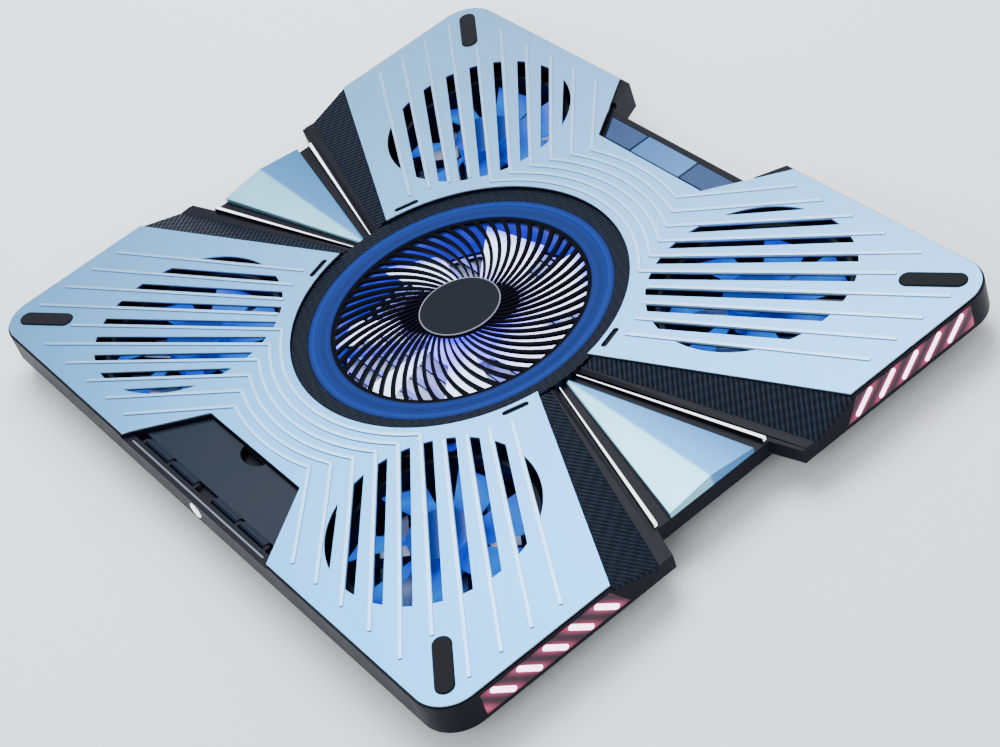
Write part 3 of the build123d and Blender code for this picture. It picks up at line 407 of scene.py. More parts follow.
@dataclass(frozen=True)
class LitWellFinish(PlainFinish):
    """Case plastic whose floor catches the light of the main fan above it."""

    glow: Color = (0.20, 0.24, 1.0)
    strength: float = 1.8
    well_radius: float = 64.0
    inside_above: float = 3.9
    inside_below: float = 6.6

    def build(self, kit: Kit) -> bpy.types.Material:
        """Make the material.

        Args:
            kit: the shared shader groups.

        Returns:
            The finished material.
        """
        material = super().build(kit)
        graph = Graph(material.node_tree)
        shader = material.node_tree.nodes["Principled BSDF"]
        _, x, y, z = graph.axes()
        square = graph.math("ADD", graph.math("MULTIPLY", x, x), graph.math("MULTIPLY", y, y))
        well = graph.math("LESS_THAN", graph.math("SQRT", square), self.well_radius)
        above = graph.math("GREATER_THAN", z, self.inside_above)
        below = graph.math("LESS_THAN", z, self.inside_below)
        mask = graph.math("MULTIPLY", well, graph.math("MULTIPLY", above, below))
        graph.put(shader.inputs["Emission Color"], graph.mix(mask, (0.0, 0.0, 0.0), self.glow))
        shader.inputs["Emission Strength"].default_value = self.strength
        return material


@dataclass(frozen=True)
class SilverFinish:
    """Cool silver lacquer over brushed metal, with painted shading that turns paler towards the rear of the
    pad, painted highlights on the bead crests and bevelled rim, and painted shade on the side faces.
    """

    name: str
    front: Color
    rear: Color
    metallic: float
    roughness: float
    half_depth: float = 160.0
    lean: float = 0.45
    crest_from: float = 30.1
    crest_depth: float = 0.25
    crest_highlight_share: float = 0.22
    rim_below: float = 29.98
    rim_depth: float = 0.06
    rim_highlight_share: float = 0.6
    lip_shade_below: float = 29.5
    shade_tone_reach: float = 2.6
    brush_angle: float = 0.58
    brush_stretch: float = 0.02
    brush_scale: float = 3.0
    band_share: float = 0.22
    line_share: float = 0.12
    line_bump: float = 0.12
    line_depth: float = 0.04
    crest_highlight_color: Color = (0.80, 0.95, 1.0)
    rim_highlight_color: Color = (0.85, 0.95, 1.0)
    lip_shade_color: Color = (0.03, 0.045, 0.07)

    def build(self, kit: Kit) -> bpy.types.Material:
        """Make the material.

        Args:
            kit: the shared shader groups.

        Returns:
            The finished material.
        """
        finish = Finish(self.name)
        graph = finish.graph
        brushed = finish.use(
            kit.brushed, Angle=self.brush_angle, Stretch=self.brush_stretch, Scale=self.brush_scale)
        _, x, y, z = graph.axes()
        # Painted shading: the colour runs from the deeper front colour to the paler rear colour across the
        # pad, as the light falls on it.
        lean = graph.math("SUBTRACT", y, graph.math("MULTIPLY", x, self.lean))
        shade_tone = graph.math("DIVIDE", lean, self.shade_tone_reach * self.half_depth)
        place = graph.math("ADD", shade_tone, 0.5, clamp=True)
        base = graph.mix(place, self.front, self.rear)
        pale = graph.mix(graph.math("MULTIPLY", brushed.outputs["Bands"], self.band_share), base, self.rear)
        # Painted highlight: the bead crests above the plate's top are mixed towards a near-white colour.
        lit_crest = graph.math("DIVIDE", graph.math("SUBTRACT", z, self.crest_from), self.crest_depth, clamp=True)
        crest_highlighted = graph.mix(graph.math("MULTIPLY", lit_crest, self.crest_highlight_share), pale, self.crest_highlight_color)
        # Painted highlight: the bevelled rim just below the plate's top is mixed towards a pale colour.
        rim = graph.math("DIVIDE", graph.math("SUBTRACT", self.rim_below, z), self.rim_depth, clamp=True)
        rim_highlighted = graph.mix(graph.math("MULTIPLY", rim, self.rim_highlight_share), crest_highlighted, self.rim_highlight_color)
        # Painted shade: the side faces well below the plate's top are mixed towards a dark colour.
        lip = graph.math("DIVIDE", graph.math("SUBTRACT", self.lip_shade_below, z), self.crest_depth, clamp=True)
        finish.set(Base_Color=graph.mix(lip, rim_highlighted, self.lip_shade_color), Metallic=self.metallic)
        lines = graph.math("MULTIPLY", brushed.outputs["Lines"], self.line_share)
        finish.set(Roughness=graph.math("ADD", lines, self.roughness))
        finish.bump(brushed.outputs["Lines"], self.line_bump, self.line_depth * MM)
        return finish.material


@dataclass(frozen=True)
class RibbedFinish:
    """Dark trim with fine pressed ribs, the rib valleys painted darker as painted shade and the crests
    lighter as painted highlight.
    """

    name: str
    angle: float
    pitch: float = 1.7
    shaded_valley: Color = (0.001, 0.001, 0.002)
    lit_crest: Color = (0.007, 0.013, 0.030)
    roughness: float = 0.55
    crest_polish: float = 0.2
    bump: float = 0.9
    depth: float = 0.35
    specular: float = 0.06

    def build(self, kit: Kit) -> bpy.types.Material:
        """Make the material.

        Args:
            kit: the shared shader groups.

        Returns:
            The finished material.
        """
        finish = Finish(self.name)
        graph = finish.graph
        height = finish.use(kit.ribs, Angle=self.angle, Pitch=self.pitch).outputs["Height"]
        # Painted shade in the valleys and painted highlight on the crests.
        base = graph.mix(height, self.shaded_valley, self.lit_crest)
        finish.set(Base_Color=base, Specular_IOR_Level=self.specular)
        polish = graph.math("MULTIPLY", height, self.crest_polish)
        finish.set(Roughness=graph.math("SUBTRACT", self.roughness, polish))
        finish.bump(height, self.bump, self.depth * MM)
        return finish.material


@dataclass(frozen=True)
class LitFinish:
    """Opal plastic that glows evenly, with a faint mottling."""

    name: str
    color: Color
    glow: Color
    strength: float
    mottle_scale: float = 0.12
    dimming: float = 0.8

    def build(self, kit: Kit) -> bpy.types.Material:
        """Make the material.

        Args:
            kit: the shared shader groups.

        Returns:
            The finished material.
        """
        finish = Finish(self.name)
        graph = finish.graph
        mottle = finish.use(kit.grain, Mottle_scale=self.mottle_scale).outputs["Mottle"]
        finish.set(Base_Color=(*self.color, 1.0), Roughness=0.35, Emission_Strength=self.strength)
        dim = tuple(channel * self.dimming for channel in self.glow)
        finish.set(Emission_Color=graph.mix(mottle, dim, self.glow))
        return finish.material


@dataclass(frozen=True)
class StripFinish:
    """Opal light strip held between dark edges; it widens towards the end of the pad."""

    name: str
    start: float = 84.8
    length: float = 98.7
    near_middle: float = 5.0
    spread: float = 26.1
    near_half: float = 0.3
    far_half: float = 0.95
    strength: float = 1.8
    edge_sharpness: float = 4.0
    mottle_scale: float = 0.12
    edge_color: Color = (0.004, 0.005, 0.010)
    opal_color: Color = (0.9, 0.92, 1.0)
    dim_glow: Color = (0.78, 0.82, 0.9)
    full_glow: Color = (0.95, 0.97, 1.0)

    def build(self, kit: Kit) -> bpy.types.Material:
        """Make the material.

        Args:
            kit: the shared shader groups.

        Returns:
            The finished material.
        """
        finish = Finish(self.name)
        graph = finish.graph
        _, x, y, _ = graph.axes()
        from_middle = graph.math("ABSOLUTE", x)
        share = graph.math("DIVIDE", graph.math("SUBTRACT", from_middle, self.start), self.length)
        middle = graph.math("ADD", graph.math("MULTIPLY", share, self.spread), self.near_middle)
        off = graph.math("ABSOLUTE", graph.math("SUBTRACT", graph.math("ABSOLUTE", y), middle))
        widening = graph.math("MULTIPLY", share, self.far_half - self.near_half)
        half = graph.math("ADD", widening, self.near_half)
        lit = graph.math("MULTIPLY", graph.math("SUBTRACT", half, off), self.edge_sharpness, clamp=True)
        mottle = finish.use(kit.grain, Mottle_scale=self.mottle_scale).outputs["Mottle"]
        glow = graph.mix(mottle, self.dim_glow, self.full_glow)
        finish.set(Base_Color=graph.mix(lit, self.edge_color, self.opal_color), Roughness=0.35)
        finish.set(Emission_Color=graph.mix(lit, (0.0, 0.0, 0.0), glow), Emission_Strength=self.strength)
        finish.set(Specular_IOR_Level=0.12)
        return finish.material


@dataclass(frozen=True)
class RadialGlow:
    """Plastic lit from inside, whose light changes with the distance from an upright axis."""

    name: str
    color: Color
    stops: tuple[tuple[float, Color], ...]
    radius: float
    strength: float
    centre: tuple[float, float] = (0.0, 0.0)
    patches: float = 0.0
    roughness: float = 0.3
    specular: float = 0.2
    mottle_scale: float = 0.06

    def build(self, kit: Kit) -> bpy.types.Material:
        """Make the material.

        Args:
            kit: the shared shader groups.

        Returns:
            The finished material.
        """
        finish = Finish(self.name)
        graph = finish.graph
        _, x, y, _ = graph.axes()
        dx = graph.math("SUBTRACT", x, self.centre[0])
        dy = graph.math("SUBTRACT", y, self.centre[1])
        square = graph.math("ADD", graph.math("MULTIPLY", dx, dx), graph.math("MULTIPLY", dy, dy))
        reach = graph.math("DIVIDE", graph.math("SQRT", square), self.radius)
        mottle = finish.use(kit.grain, Mottle_scale=self.mottle_scale).outputs["Mottle"]
        shift = graph.math("MULTIPLY", graph.math("SUBTRACT", mottle, 0.5), self.patches)
        glow = graph.ramp(graph.math("ADD", reach, shift), self.stops)
        finish.set(Base_Color=(*self.color, 1.0), Roughness=self.roughness)
        finish.set(Specular_IOR_Level=self.specular)
        finish.set(Emission_Color=glow, Emission_Strength=self.strength)
        return finish.material


@dataclass(frozen=True)
class LensFinish:
    """Smoked side lens that picks up the light of its bars."""

    name: str
    glow: Color
    strength: float
    dark: Color = (0.006, 0.004, 0.008)
    glow_lit_color: Color = (0.22, 0.03, 0.09)
    dark_glow: Color = (0.012, 0.001, 0.006)

    def build(self, kit: Kit) -> bpy.types.Material:
        """Make the material.

        Args:
            kit: the shared shader groups.

        Returns:
            The finished material.
        """
        finish = Finish(self.name)
        graph = finish.graph
        glow = finish.use(kit.bar_glow).outputs["Glow"]
        # Painted light: the lens's base colour turns pink where the bars' glow falls.
        finish.set(Base_Color=graph.mix(glow, self.dark, self.glow_lit_color))
        finish.set(Roughness=0.22, Specular_IOR_Level=0.25, Emission_Strength=self.strength)
        finish.set(Emission_Color=graph.mix(glow, self.dark_glow, self.glow))
        return finish.material


@dataclass(frozen=True)
class WindowFinish:
    """Display window with a soft gradient across its width."""

    name: str
    near: Color
    far: Color
    half_width: float = 18.5
    roughness: float = 0.14
    roughness_spread: float = 0.1
    grain: float = 1.5
    bump: float = 0.05
    grain_depth: float = 0.03

    def build(self, kit: Kit) -> bpy.types.Material:
        """Make the material.

        Args:
            kit: the shared shader groups.

        Returns:
            The finished material.
        """
        finish = Finish(self.name)
        graph = finish.graph
        x = graph.axes()[1]
        place = graph.math("ADD", graph.math("DIVIDE", x, 2 * self.half_width), 0.5, clamp=True)
        grain = finish.use(kit.grain, Scale=self.grain)
        finish.set(Base_Color=graph.mix(place, self.near, self.far), Specular_IOR_Level=0.3)
        spread = graph.math("MULTIPLY", grain.outputs["Mottle"], self.roughness_spread)
        finish.set(Roughness=graph.math("ADD", spread, self.roughness))
        finish.bump(grain.outputs["Height"], self.bump, self.grain_depth * MM)
        return finish.material


AnyFinish = (
    PlainFinish | SilverFinish | RibbedFinish | LitFinish
    | StripFinish | RadialGlow | LensFinish | WindowFinish
)


@dataclass
class Paints:
    """Every material of the pad, built once."""

    kit: Kit = field(default_factory=Kit)
    made: dict[str, bpy.types.Material] = field(default_factory=dict)

    def get(self, finish: AnyFinish) -> bpy.types.Material:
        """Material of a finish, made at its first use.

        Args:
            finish: the finish wanted.

        Returns:
            Its material.
        """
        if finish.name not in self.made:
            self.made[finish.name] = finish.build(self.kit)
        return self.made[finish.name]


# Plates: the front and rear colours carry the painted shading across the pad.
PLATE = SilverFinish("silver_plate", (0.035, 0.25, 0.56), (0.20, 0.43, 0.72), 0.82, 0.26)
# Ridge covers: painted light on the two slopes, the y<0 slope painted pale as lit and the y>0 slope deeper
# blue as shaded; no painted rim highlight or side shade.
COVER = SilverFinish("silver_cover", (0.24, 0.56, 0.70), (0.05, 0.20, 0.44), 0.65, 0.26,
                     half_depth=0.6, lean=0.0, rim_highlight_share=0.0, lip_shade_below=-10.0)
BLACK, BLACK_LIGHT = (0.002, 0.002, 0.005), (0.006, 0.006, 0.012)
CASE = PlainFinish("case_black", BLACK, BLACK_LIGHT, 0.45, 4.0, 0.3, specular=0.08)
SHELL = LitWellFinish("case_black_lit_well", BLACK, BLACK_LIGHT, 0.45, 4.0, 0.3, specular=0.08)
PANEL_A = RibbedFinish("ribbed_trim_a", 0.87, 2.3)
PANEL_B = RibbedFinish("ribbed_trim_b", -0.87, 2.3)
BEZEL = RibbedFinish("ribbed_bezel", 0.35, 1.9)
RUBBER = PlainFinish("soft_rubber", (0.004, 0.004, 0.006), (0.009, 0.009, 0.012), 0.75, 5.0, 0.5,
                     specular=0.12)
SLATE = PlainFinish("slate_gloss", (0.004, 0.008, 0.018), (0.007, 0.013, 0.028), 0.36, 2.0, 0.08,
                    specular=0.09)
KEY = PlainFinish("key_slate_blue", (0.018, 0.045, 0.13), (0.028, 0.06, 0.16), 0.3, 2.0, 0.08,
                  specular=0.15)
GRILLE = PlainFinish("grille_black", (0.0005, 0.0005, 0.002), (0.001, 0.001, 0.005), 0.5, 4.0, 0.2,
                     specular=0.02)
FAN = PlainFinish("fan_black", (0.002, 0.003, 0.008), (0.004, 0.006, 0.016), 0.5, 3.0, 0.2,
                  specular=0.15)
STEEL = PlainFinish("plated_steel", (0.45, 0.46, 0.48), (0.60, 0.61, 0.63), 0.28, 5.0, 0.1, metallic=1.0)
BRASS = PlainFinish("gilt_contacts", (0.72, 0.50, 0.20), (0.85, 0.62, 0.28), 0.25, 5.0, 0.1, metallic=1.0)
COPPER = PlainFinish("motor_winding", (0.35, 0.13, 0.05), (0.55, 0.25, 0.10), 0.4, 1.2, 0.8, metallic=0.9)
BOARD = PlainFinish("board_lacquer", (0.008, 0.05, 0.03), (0.015, 0.08, 0.045), 0.35, 1.0, 0.2)
# Pale trim for the hub rim; also the sill strip, which is a painted highlight.
TRIM_AND_HIGHLIGHT = PlainFinish("pale_trim_and_highlight", (0.10, 0.12, 0.16), (0.14, 0.17, 0.22), 0.35, 3.0, 0.1, metallic=0.3)
DISPLAY = WindowFinish("display_window", (0.045, 0.14, 0.36), (0.07, 0.19, 0.44))
STRIP = StripFinish("light_strip")
HUB = PlainFinish("hub_charcoal", (0.002, 0.003, 0.007), (0.004, 0.005, 0.011), 0.42, 2.0, 0.1,
                  specular=0.05)
WHITE_LIGHT = LitFinish("white_light", (0.9, 0.92, 1.0), (0.95, 0.97, 1.0), 1.8)
PINK_LIGHT = LitFinish("pink_light", (1.0, 0.8, 0.88), (1.0, 0.62, 0.80), 5.0)
LENS = LensFinish("smoked_lens", (0.70, 0.07, 0.20), 0.8)
RING_STOPS = (
    (0.845, (0.0, 0.005, 0.06)), (0.875, (0.0, 0.03, 0.36)), (0.90, (0.0, 0.015, 0.17)),
    (0.935, (0.0, 0.025, 0.28)), (0.965, (0.0, 0.055, 0.52)), (1.0, (0.0, 0.008, 0.10)),
)
BLUE_RING = RadialGlow("blue_ring", (0.002, 0.01, 0.05), RING_STOPS, 76.0, 0.75, roughness=0.5,
                       specular=0.06)
MAIN_BLADE_STOPS = (
    (0.30, (0.04, 0.02, 0.75)), (0.45, (0.30, 0.30, 1.0)), (0.60, (0.62, 0.72, 1.0)),
    (0.88, (0.66, 0.80, 1.0)), (1.0, (0.08, 0.08, 0.9)),
)
MAIN_BLADES = RadialGlow("lit_main_blades", (0.3, 0.3, 0.6), MAIN_BLADE_STOPS, 64.0, 3.6, patches=0.3)
MAIN_FRAME_STOPS = (
    (0.0, (0.005, 0.0, 0.06)), (0.5, (0.10, 0.10, 0.8)), (0.9, (0.03, 0.04, 0.7)),
    (1.0, (0.004, 0.01, 0.4)),
)
MAIN_FRAME = RadialGlow("lit_main_frame", (0.003, 0.003, 0.03), MAIN_FRAME_STOPS, 66.0, 1.6, patches=0.3)
SMALL_BLADE_STOPS = (
    (0.30, (0.0, 0.01, 0.2)), (0.45, (0.0, 0.06, 0.8)), (0.7, (0.005, 0.22, 1.0)),
    (1.0, (0.0, 0.03, 0.75)),
)


def small_blades(corner: str, centre: tuple[float, float]) -> RadialGlow:
    """Finish of one small fan's lit blades.

    Args:
        corner: the fan's corner name.
        centre: its axis in millimetres.

    Returns:
        The finish.
    """
    return RadialGlow("lit_blades_" + corner, (0.005, 0.04, 0.2), SMALL_BLADE_STOPS, radius=43.0,
                      strength=0.9, centre=centre, patches=0.6)


# --- modelling -------------------------------------------------------------------------------------
MERGE_DISTANCE = 0.002 * MM
FLAT_ANGLE = radians(0.5)


def clear_selection() -> None:
    """Leave object mode and deselect everything."""
    if bpy.context.object is not None and bpy.context.object.mode != "OBJECT":
        bpy.ops.object.mode_set(mode="OBJECT")
    bpy.ops.object.select_all(action="DESELECT")


def take(piece: bpy.types.Object) -> None:
    """Make one object the only selected and active one.

    Args:
        piece: the object.
    """
    clear_selection()
    piece.select_set(True)
    bpy.context.view_layer.objects.active = piece


def apply_modifier(piece: bpy.types.Object, kind: str, **values: object) -> None:
    """Add a modifier and apply it.

    Args:
        piece: the object to change.
        kind: the modifier's type.
        values: its settings.
    """
    take(piece)
    bpy.ops.object.modifier_add(type=kind)
    modifier = piece.modifiers[-1]
    for name, value in values.items():
        setattr(modifier, name, value)
    bpy.ops.object.modifier_apply(modifier=modifier.name)


def soften(piece: bpy.types.Object, width: float, segments: int = 2, angle: float = 35.0) -> None:
    """Round a piece's sharp edges and smooth its curved faces.

    Args:
        piece: the object to change.
        width: the rounding's width in millimetres.
        segments: faces across the rounding.
        angle: edges sharper than this are rounded, in degrees.
    """
    apply_modifier(piece, "BEVEL", width=width * MM, segments=segments, limit_method="ANGLE",
                   angle_limit=radians(angle), use_clamp_overlap=True)
    take(piece)
    bpy.ops.object.shade_smooth_by_angle(angle=radians(angle))
    apply_modifier(piece, "WEIGHTED_NORMAL", keep_sharp=True, weight=100)


def dress(piece: bpy.types.Object, material: bpy.types.Material, body: str) -> None:
    """Give a piece its material and body.

    Args:
        piece: the object to dress.
        material: its material.
        body: the body that it moves with.
    """
    piece.data.materials.clear()
    piece.data.materials.append(material)
    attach(piece, body)


def body_of_node(node: str) -> str:
    """Name of the body that a CAD node belongs to.

    Args:
        node: the CAD node.

    Returns:
        The body's name.
    """
    for body, nodes in frame["record"]["behaviour"]["bodies"].items():
        if node in nodes:
            return body
    raise KeyError(node)


def softened_copy(node: str, material: bpy.types.Material, width: float,
                  segments: int = 2) -> bpy.types.Object:
    """Finished stand-in for a CAD node, merged, cleaned and with rounded edges.

    Args:
        node: the CAD node it stands for.
        material: its material.
        width: the rounding's width in millimetres.
        segments: faces across the rounding.

    Returns:
        The new piece.
    """
    piece = bpy.data.objects.new(node + "_finished", frame["nodes"][node].data.copy())
    bpy.context.scene.collection.objects.link(piece)
    take(piece)
    bpy.ops.object.mode_set(mode="EDIT")
    bpy.ops.mesh.select_all(action="SELECT")
    bpy.ops.mesh.remove_doubles(threshold=MERGE_DISTANCE)
    bpy.ops.mesh.dissolve_limited(angle_limit=FLAT_ANGLE)
    bpy.ops.object.mode_set(mode="OBJECT")
    soften(piece, width, segments)
    dress(piece, material, body_of_node(node))
    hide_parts(node)
    log.info("%s stands for %s", piece.name, node)
    return piece


def paint_node(node: str, material: bpy.types.Material) -> None:
    """Give a CAD node that stays as it is a better material.

    Args:
        node: the CAD node.
        material: its material.
    """
    mesh = frame["nodes"][node].data
    mesh.materials.clear()
    mesh.materials.append(material)


def bake_place(piece: bpy.types.Object) -> None:
    """Move an object's place into its mesh.

    Args:
        piece: the object to change.
    """
    take(piece)
    bpy.ops.object.transform_apply(location=True, rotation=True, scale=True)


# --- sub-assemblies --------------------------------------------------------------------------------
@dataclass
class TopDeck:
    """Silver plates, rubber pads, dark trim and ridge covers on top of the case."""

    paints: Paints
    plate_round: float = 0.35
    trim_round: float = 0.25
    cover_round: float = 0.3
    pad_round: float = 0.3

    def build(self) -> None:
        """Make and dress every piece."""
        for side in ("front", "rear"):
            softened_copy(f"top_plate_{side}", self.paints.get(PLATE), self.plate_round)
        for side in ("right", "left"):
            softened_copy(f"ridge_cover_{side}", self.paints.get(COVER), self.cover_round)
        for corner in CORNERS:
            finish = PANEL_B if corner in ("right_rear", "left_front") else PANEL_A
            softened_copy(f"wedge_panel_{corner}", self.paints.get(finish), self.trim_round)
            softened_copy(f"wedge_light_{corner}", self.paints.get(STRIP), self.trim_round)
            softened_copy(f"corner_pad_{corner}", self.paints.get(RUBBER), self.pad_round)


@dataclass
class Middle:
    """Bezel, glowing ring, spiral grille and hub cap."""

    paints: Paints
    bezel_round: float = 0.2
    ring_round: float = 0.25
    grille_round: float = 0.2
    cap_round: float = 0.15
    rim_thickness: float = 0.45
    rim_below_cap: float = 0.25
    rim_flattening: float = 0.6
    rim_segments: tuple[int, int] = (96, 10)

    def build(self) -> None:
        """Make and dress every piece."""
        softened_copy("centre_bezel", self.paints.get(BEZEL), self.bezel_round)
        softened_copy("light_ring", self.paints.get(BLUE_RING), self.ring_round)
        softened_copy("spiral_grille", self.paints.get(GRILLE), self.grille_round, 1)
        softened_copy("hub_cap", self.paints.get(HUB), self.cap_round)
        paint_node("led_board", self.paints.get(BOARD))
        self.hub_rim()

    def hub_rim(self) -> None:
        """Thin pale rim round the hub cap."""
        _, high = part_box("hub_cap")
        middle = (0, 0, high.z - self.rim_below_cap * MM)
        around, across = self.rim_segments
        clear_selection()
        bpy.ops.mesh.primitive_torus_add(
            location=middle, major_radius=high.x, minor_radius=self.rim_thickness * MM,
            major_segments=around, minor_segments=across)
        rim = bpy.context.object
        rim.name = "hub_cap_rim"
        bpy.ops.object.mode_set(mode="EDIT")
        bpy.ops.mesh.select_all(action="SELECT")
        bpy.ops.transform.resize(value=(1, 1, self.rim_flattening), center_override=middle)
        bpy.ops.object.mode_set(mode="OBJECT")
        bake_place(rim)
        bpy.ops.object.shade_smooth()
        dress(rim, self.paints.get(TRIM_AND_HIGHLIGHT), "case")


@dataclass
class Fans:
    """Main fan and the four small ones."""

    paints: Paints
    fan_round: float = 0.3

    def build(self) -> None:
        """Make and dress every piece."""
        softened_copy("main_fan_rotor", self.paints.get(MAIN_BLADES), self.fan_round)
        softened_copy("main_fan_frame", self.paints.get(MAIN_FRAME), self.fan_round, 1)
        for corner in CORNERS:
            low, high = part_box("fan_frame_" + corner)
            middle = (low + high) / (2 * MM)
            blades = small_blades(corner, (middle.x, middle.y))
            softened_copy("fan_rotor_" + corner, self.paints.get(blades), self.fan_round)
            softened_copy("fan_frame_" + corner, self.paints.get(FAN), self.fan_round, 1)
        for node in ("main_fan_stator", "small_fan_stators"):
            paint_node(node, self.paints.get(COPPER))
        paint_node("fan_screws", self.paints.get(STEEL))


@dataclass
class Case:
    """Both halves of the case with feet, legs, screws and sockets."""

    paints: Paints
    deck_round: float = 0.3
    shell_round: float = 0.35
    rubber_round: float = 0.5
    leg_round: float = 0.5
    socket_round: float = 0.08
    contact_count: int = 4
    contact_size: tuple[float, float, float] = (1.2, 6.0, 0.2)
    contact_pitch: float = 2.5
    contact_drop: float = 2.75
    contact_inset: float = 7.5
    contact_round: float = 0.05

    def build(self) -> None:
        """Make and dress every piece."""
        softened_copy("deck", self.paints.get(CASE), self.deck_round)
        softened_copy("bottom_shell", self.paints.get(SHELL), self.shell_round)
        softened_copy("rubber_feet", self.paints.get(RUBBER), self.rubber_round)
        for side in ("right", "left"):
            softened_copy("stand_leg_" + side, self.paints.get(CASE), self.leg_round)
            socket = self.paints.get(STEEL)
            softened_copy("usb_socket_" + side, socket, self.socket_round, 1)
            self.contacts(side)
        for node in ("leg_pins", "case_screws"):
            paint_node(node, self.paints.get(STEEL))

    def contacts(self, side: str) -> None:
        """Gilt contacts under a socket's tongue.

        Args:
            side: the socket's side.
        """
        low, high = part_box("usb_socket_" + side)
        middle = (low.x + high.x) / 2
        width, length, height = (value * MM for value in self.contact_size)
        under_tongue = high.z - self.contact_drop * MM
        inset_y = high.y - self.contact_inset * MM
        made = []
        for index in range(self.contact_count):
            x = middle + (index - (self.contact_count - 1) / 2) * self.contact_pitch * MM
            clear_selection()
            bpy.ops.mesh.primitive_cube_add(size=1, location=(x, inset_y, under_tongue))
            bar = bpy.context.object
            bpy.ops.transform.resize(value=(width, length, height))
            bake_place(bar)
            soften(bar, self.contact_round, 1)
            made.append(bar)
        clear_selection()
        for bar in made:
            bar.select_set(True)
        bpy.context.view_layer.objects.active = made[0]
        bpy.ops.object.join()
        made[0].name = f"socket_contacts_{side}"
        bake_place(made[0])
        dress(made[0], self.paints.get(BRASS), "case")


@dataclass
class Controls:
    """Front flap, power button, rear keys and display."""

    paints: Paints
    flap_round: float = 0.35
    button_round: float = 0.2
    key_round: float = 0.3
    window_round: float = 0.25
    lip_half_length: float = 60.0
    lip_depth: float = 1.0
    lip_height: float = 0.6
    lip_rise: float = 0.2
    lip_outset: float = 3.4
    lip_round: float = 0.3

    def build(self) -> None:
        """Make and dress every piece."""
        softened_copy("front_flap", self.paints.get(SLATE), self.flap_round)
        softened_copy("power_button", self.paints.get(WHITE_LIGHT), self.button_round)
        for side in ("right", "left"):
            softened_copy("key_" + side, self.paints.get(KEY), self.key_round)
        window = self.paints.get(DISPLAY)
        softened_copy("display_window", window, self.window_round)
        for node in ("display_module", "control_board", "power_switch"):
            paint_node(node, self.paints.get(BOARD))
        paint_node("flap_pins", self.paints.get(STEEL))
        self.paint_sill_highlight()

    def paint_sill_highlight(self) -> None:
        """Pale strip along the sill in front of the flap: a painted highlight standing for the light caught
        by the sill's top edge.
        """
        low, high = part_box("front_flap")
        sill_top = high.z + self.lip_rise * MM
        clear_selection()
        bpy.ops.mesh.primitive_cube_add(size=1, location=(0, low.y - self.lip_outset * MM, sill_top))
        lip = bpy.context.object
        lip.name = "sill_highlight_strip"
        length, depth, height = 2 * self.lip_half_length * MM, self.lip_depth * MM, self.lip_height * MM
        bpy.ops.transform.resize(value=(length, depth, height))
        bake_place(lip)
        soften(lip, self.lip_round, 3)
        dress(lip, self.paints.get(TRIM_AND_HIGHLIGHT), "case")


@dataclass
class SideLights:
    """Slanted light bars behind the smoked lenses at both ends."""

    paints: Paints
    lens_round: float = 0.15
    bar_round: float = 0.35

    def build(self) -> None:
        """Make and dress every piece."""
        for corner in CORNERS:
            softened_copy("side_lens_" + corner, self.paints.get(LENS), self.lens_round)
            softened_copy("side_lights_" + corner, self.paints.get(PINK_LIGHT), self.bar_round)


# --- stage -----------------------------------------------------------------------------------------
@dataclass(frozen=True)
class Lamp:
    """Square soft light aimed at the pad, with its place and side in metres and its power in watts."""

    name: str
    place: tuple[float, float, float]
    size: float
    power: float
    color: Color


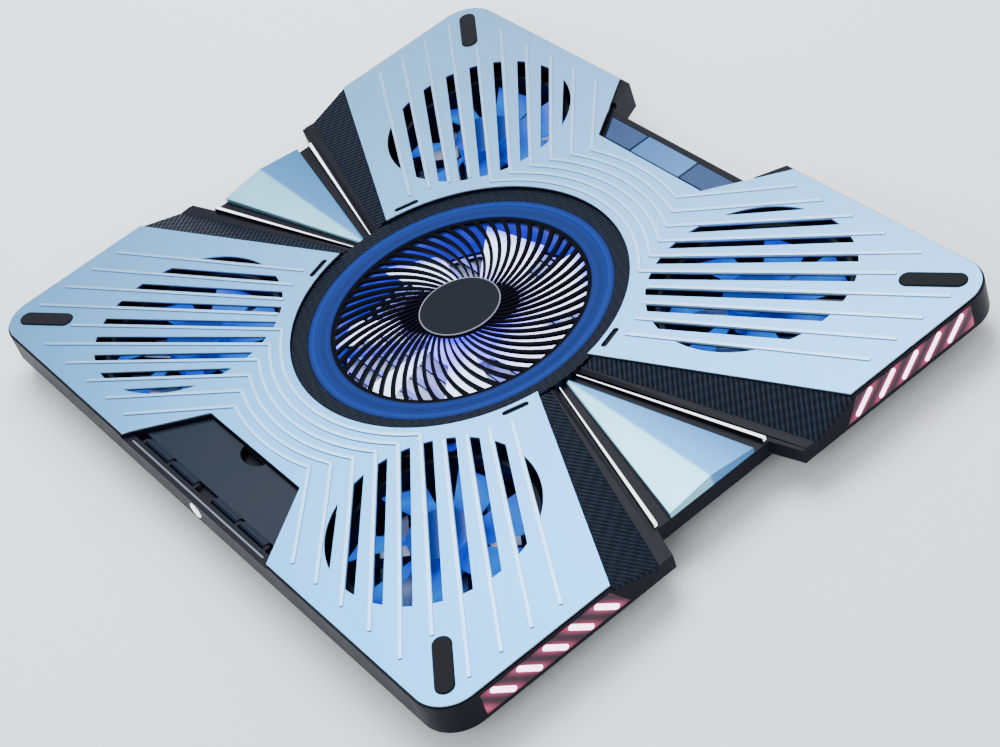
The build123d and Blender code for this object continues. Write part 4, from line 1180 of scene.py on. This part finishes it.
@dataclass
class Studio:
    """Floor, world, lights and camera."""

    lamps: tuple[Lamp, ...] = (
        Lamp("key_light", (-0.55, 0.35, 1.3), 1.1, 38.0, (0.93, 0.97, 1.0)),
        Lamp("fill_light", (0.9, -1.0, 0.9), 0.9, 9.0, (0.90, 0.95, 1.0)),
    )
    floor_size: float = 8.0
    floor_color: Color = (0.93, 0.94, 0.95)
    sky_color: Color = (0.93, 0.97, 1.0)
    sky_strength: float = 0.9

    lens: float = 86.36
    sensor: float = 36.0
    eye: tuple[float, float, float] = (0.8241, -0.3484, 0.7313)
    right: tuple[float, float, float] = (0.5828, 0.7641, -0.2766)
    up: tuple[float, float, float] = (-0.4081, 0.5695, 0.7135)
    back: tuple[float, float, float] = (0.7027, -0.3029, 0.6437)

    def build(self) -> None:
        """Set the whole stage."""
        self.floor()
        self.world()
        for lamp in self.lamps:
            self.hang(lamp)
        self.camera()

    def floor(self) -> None:
        """Plain pale floor."""
        clear_selection()
        bpy.ops.mesh.primitive_plane_add(size=self.floor_size, location=(0, 0, 0))
        floor = bpy.context.object
        floor.name = "studio_floor"
        finish = Finish("studio_floor")
        finish.set(Base_Color=(*self.floor_color, 1.0), Roughness=0.9)
        floor.data.materials.append(finish.material)

    def world(self) -> None:
        """Bright, slightly cool surroundings."""
        world = bpy.data.worlds.new("studio_world")
        world.use_nodes = True
        background = world.node_tree.nodes["Background"]
        background.inputs[0].default_value = (*self.sky_color, 1.0)
        background.inputs[1].default_value = self.sky_strength
        bpy.context.scene.world = world

    def hang(self, lamp: Lamp) -> None:
        """Hang one lamp and aim it at the pad.

        Args:
            lamp: the lamp.
        """
        data = bpy.data.lights.new(lamp.name, "AREA")
        data.size, data.energy, data.color = lamp.size, lamp.power, lamp.color
        holder = bpy.data.objects.new(lamp.name, data)
        holder.location = lamp.place
        holder.rotation_euler = (-Vector(lamp.place)).to_track_quat("-Z", "Y").to_euler()
        bpy.context.scene.collection.objects.link(holder)

    def camera(self) -> None:
        """Camera that looks down over one end of the pad, a little rolled."""
        data = bpy.data.cameras.new("camera")
        data.lens, data.sensor_width = self.lens, self.sensor
        camera = bpy.data.objects.new("camera", data)
        columns = (Vector(self.right), Vector(self.up), Vector(self.back))
        turn = Matrix(columns).transposed().to_4x4()
        camera.matrix_world = Matrix.Translation(self.eye) @ turn
        bpy.context.scene.collection.objects.link(camera)
        bpy.context.scene.camera = camera


def main() -> None:
    """Build the pad's looks and the stage round it."""
    logging.basicConfig(level=logging.INFO, format="%(message)s")
    paints = Paints()
    for part in (TopDeck, Middle, Fans, Case, Controls, SideLights):
        part(paints).build()
        log.info("%s done", part.__name__)
    Studio().build()


if __name__ == "__main__":
    main()
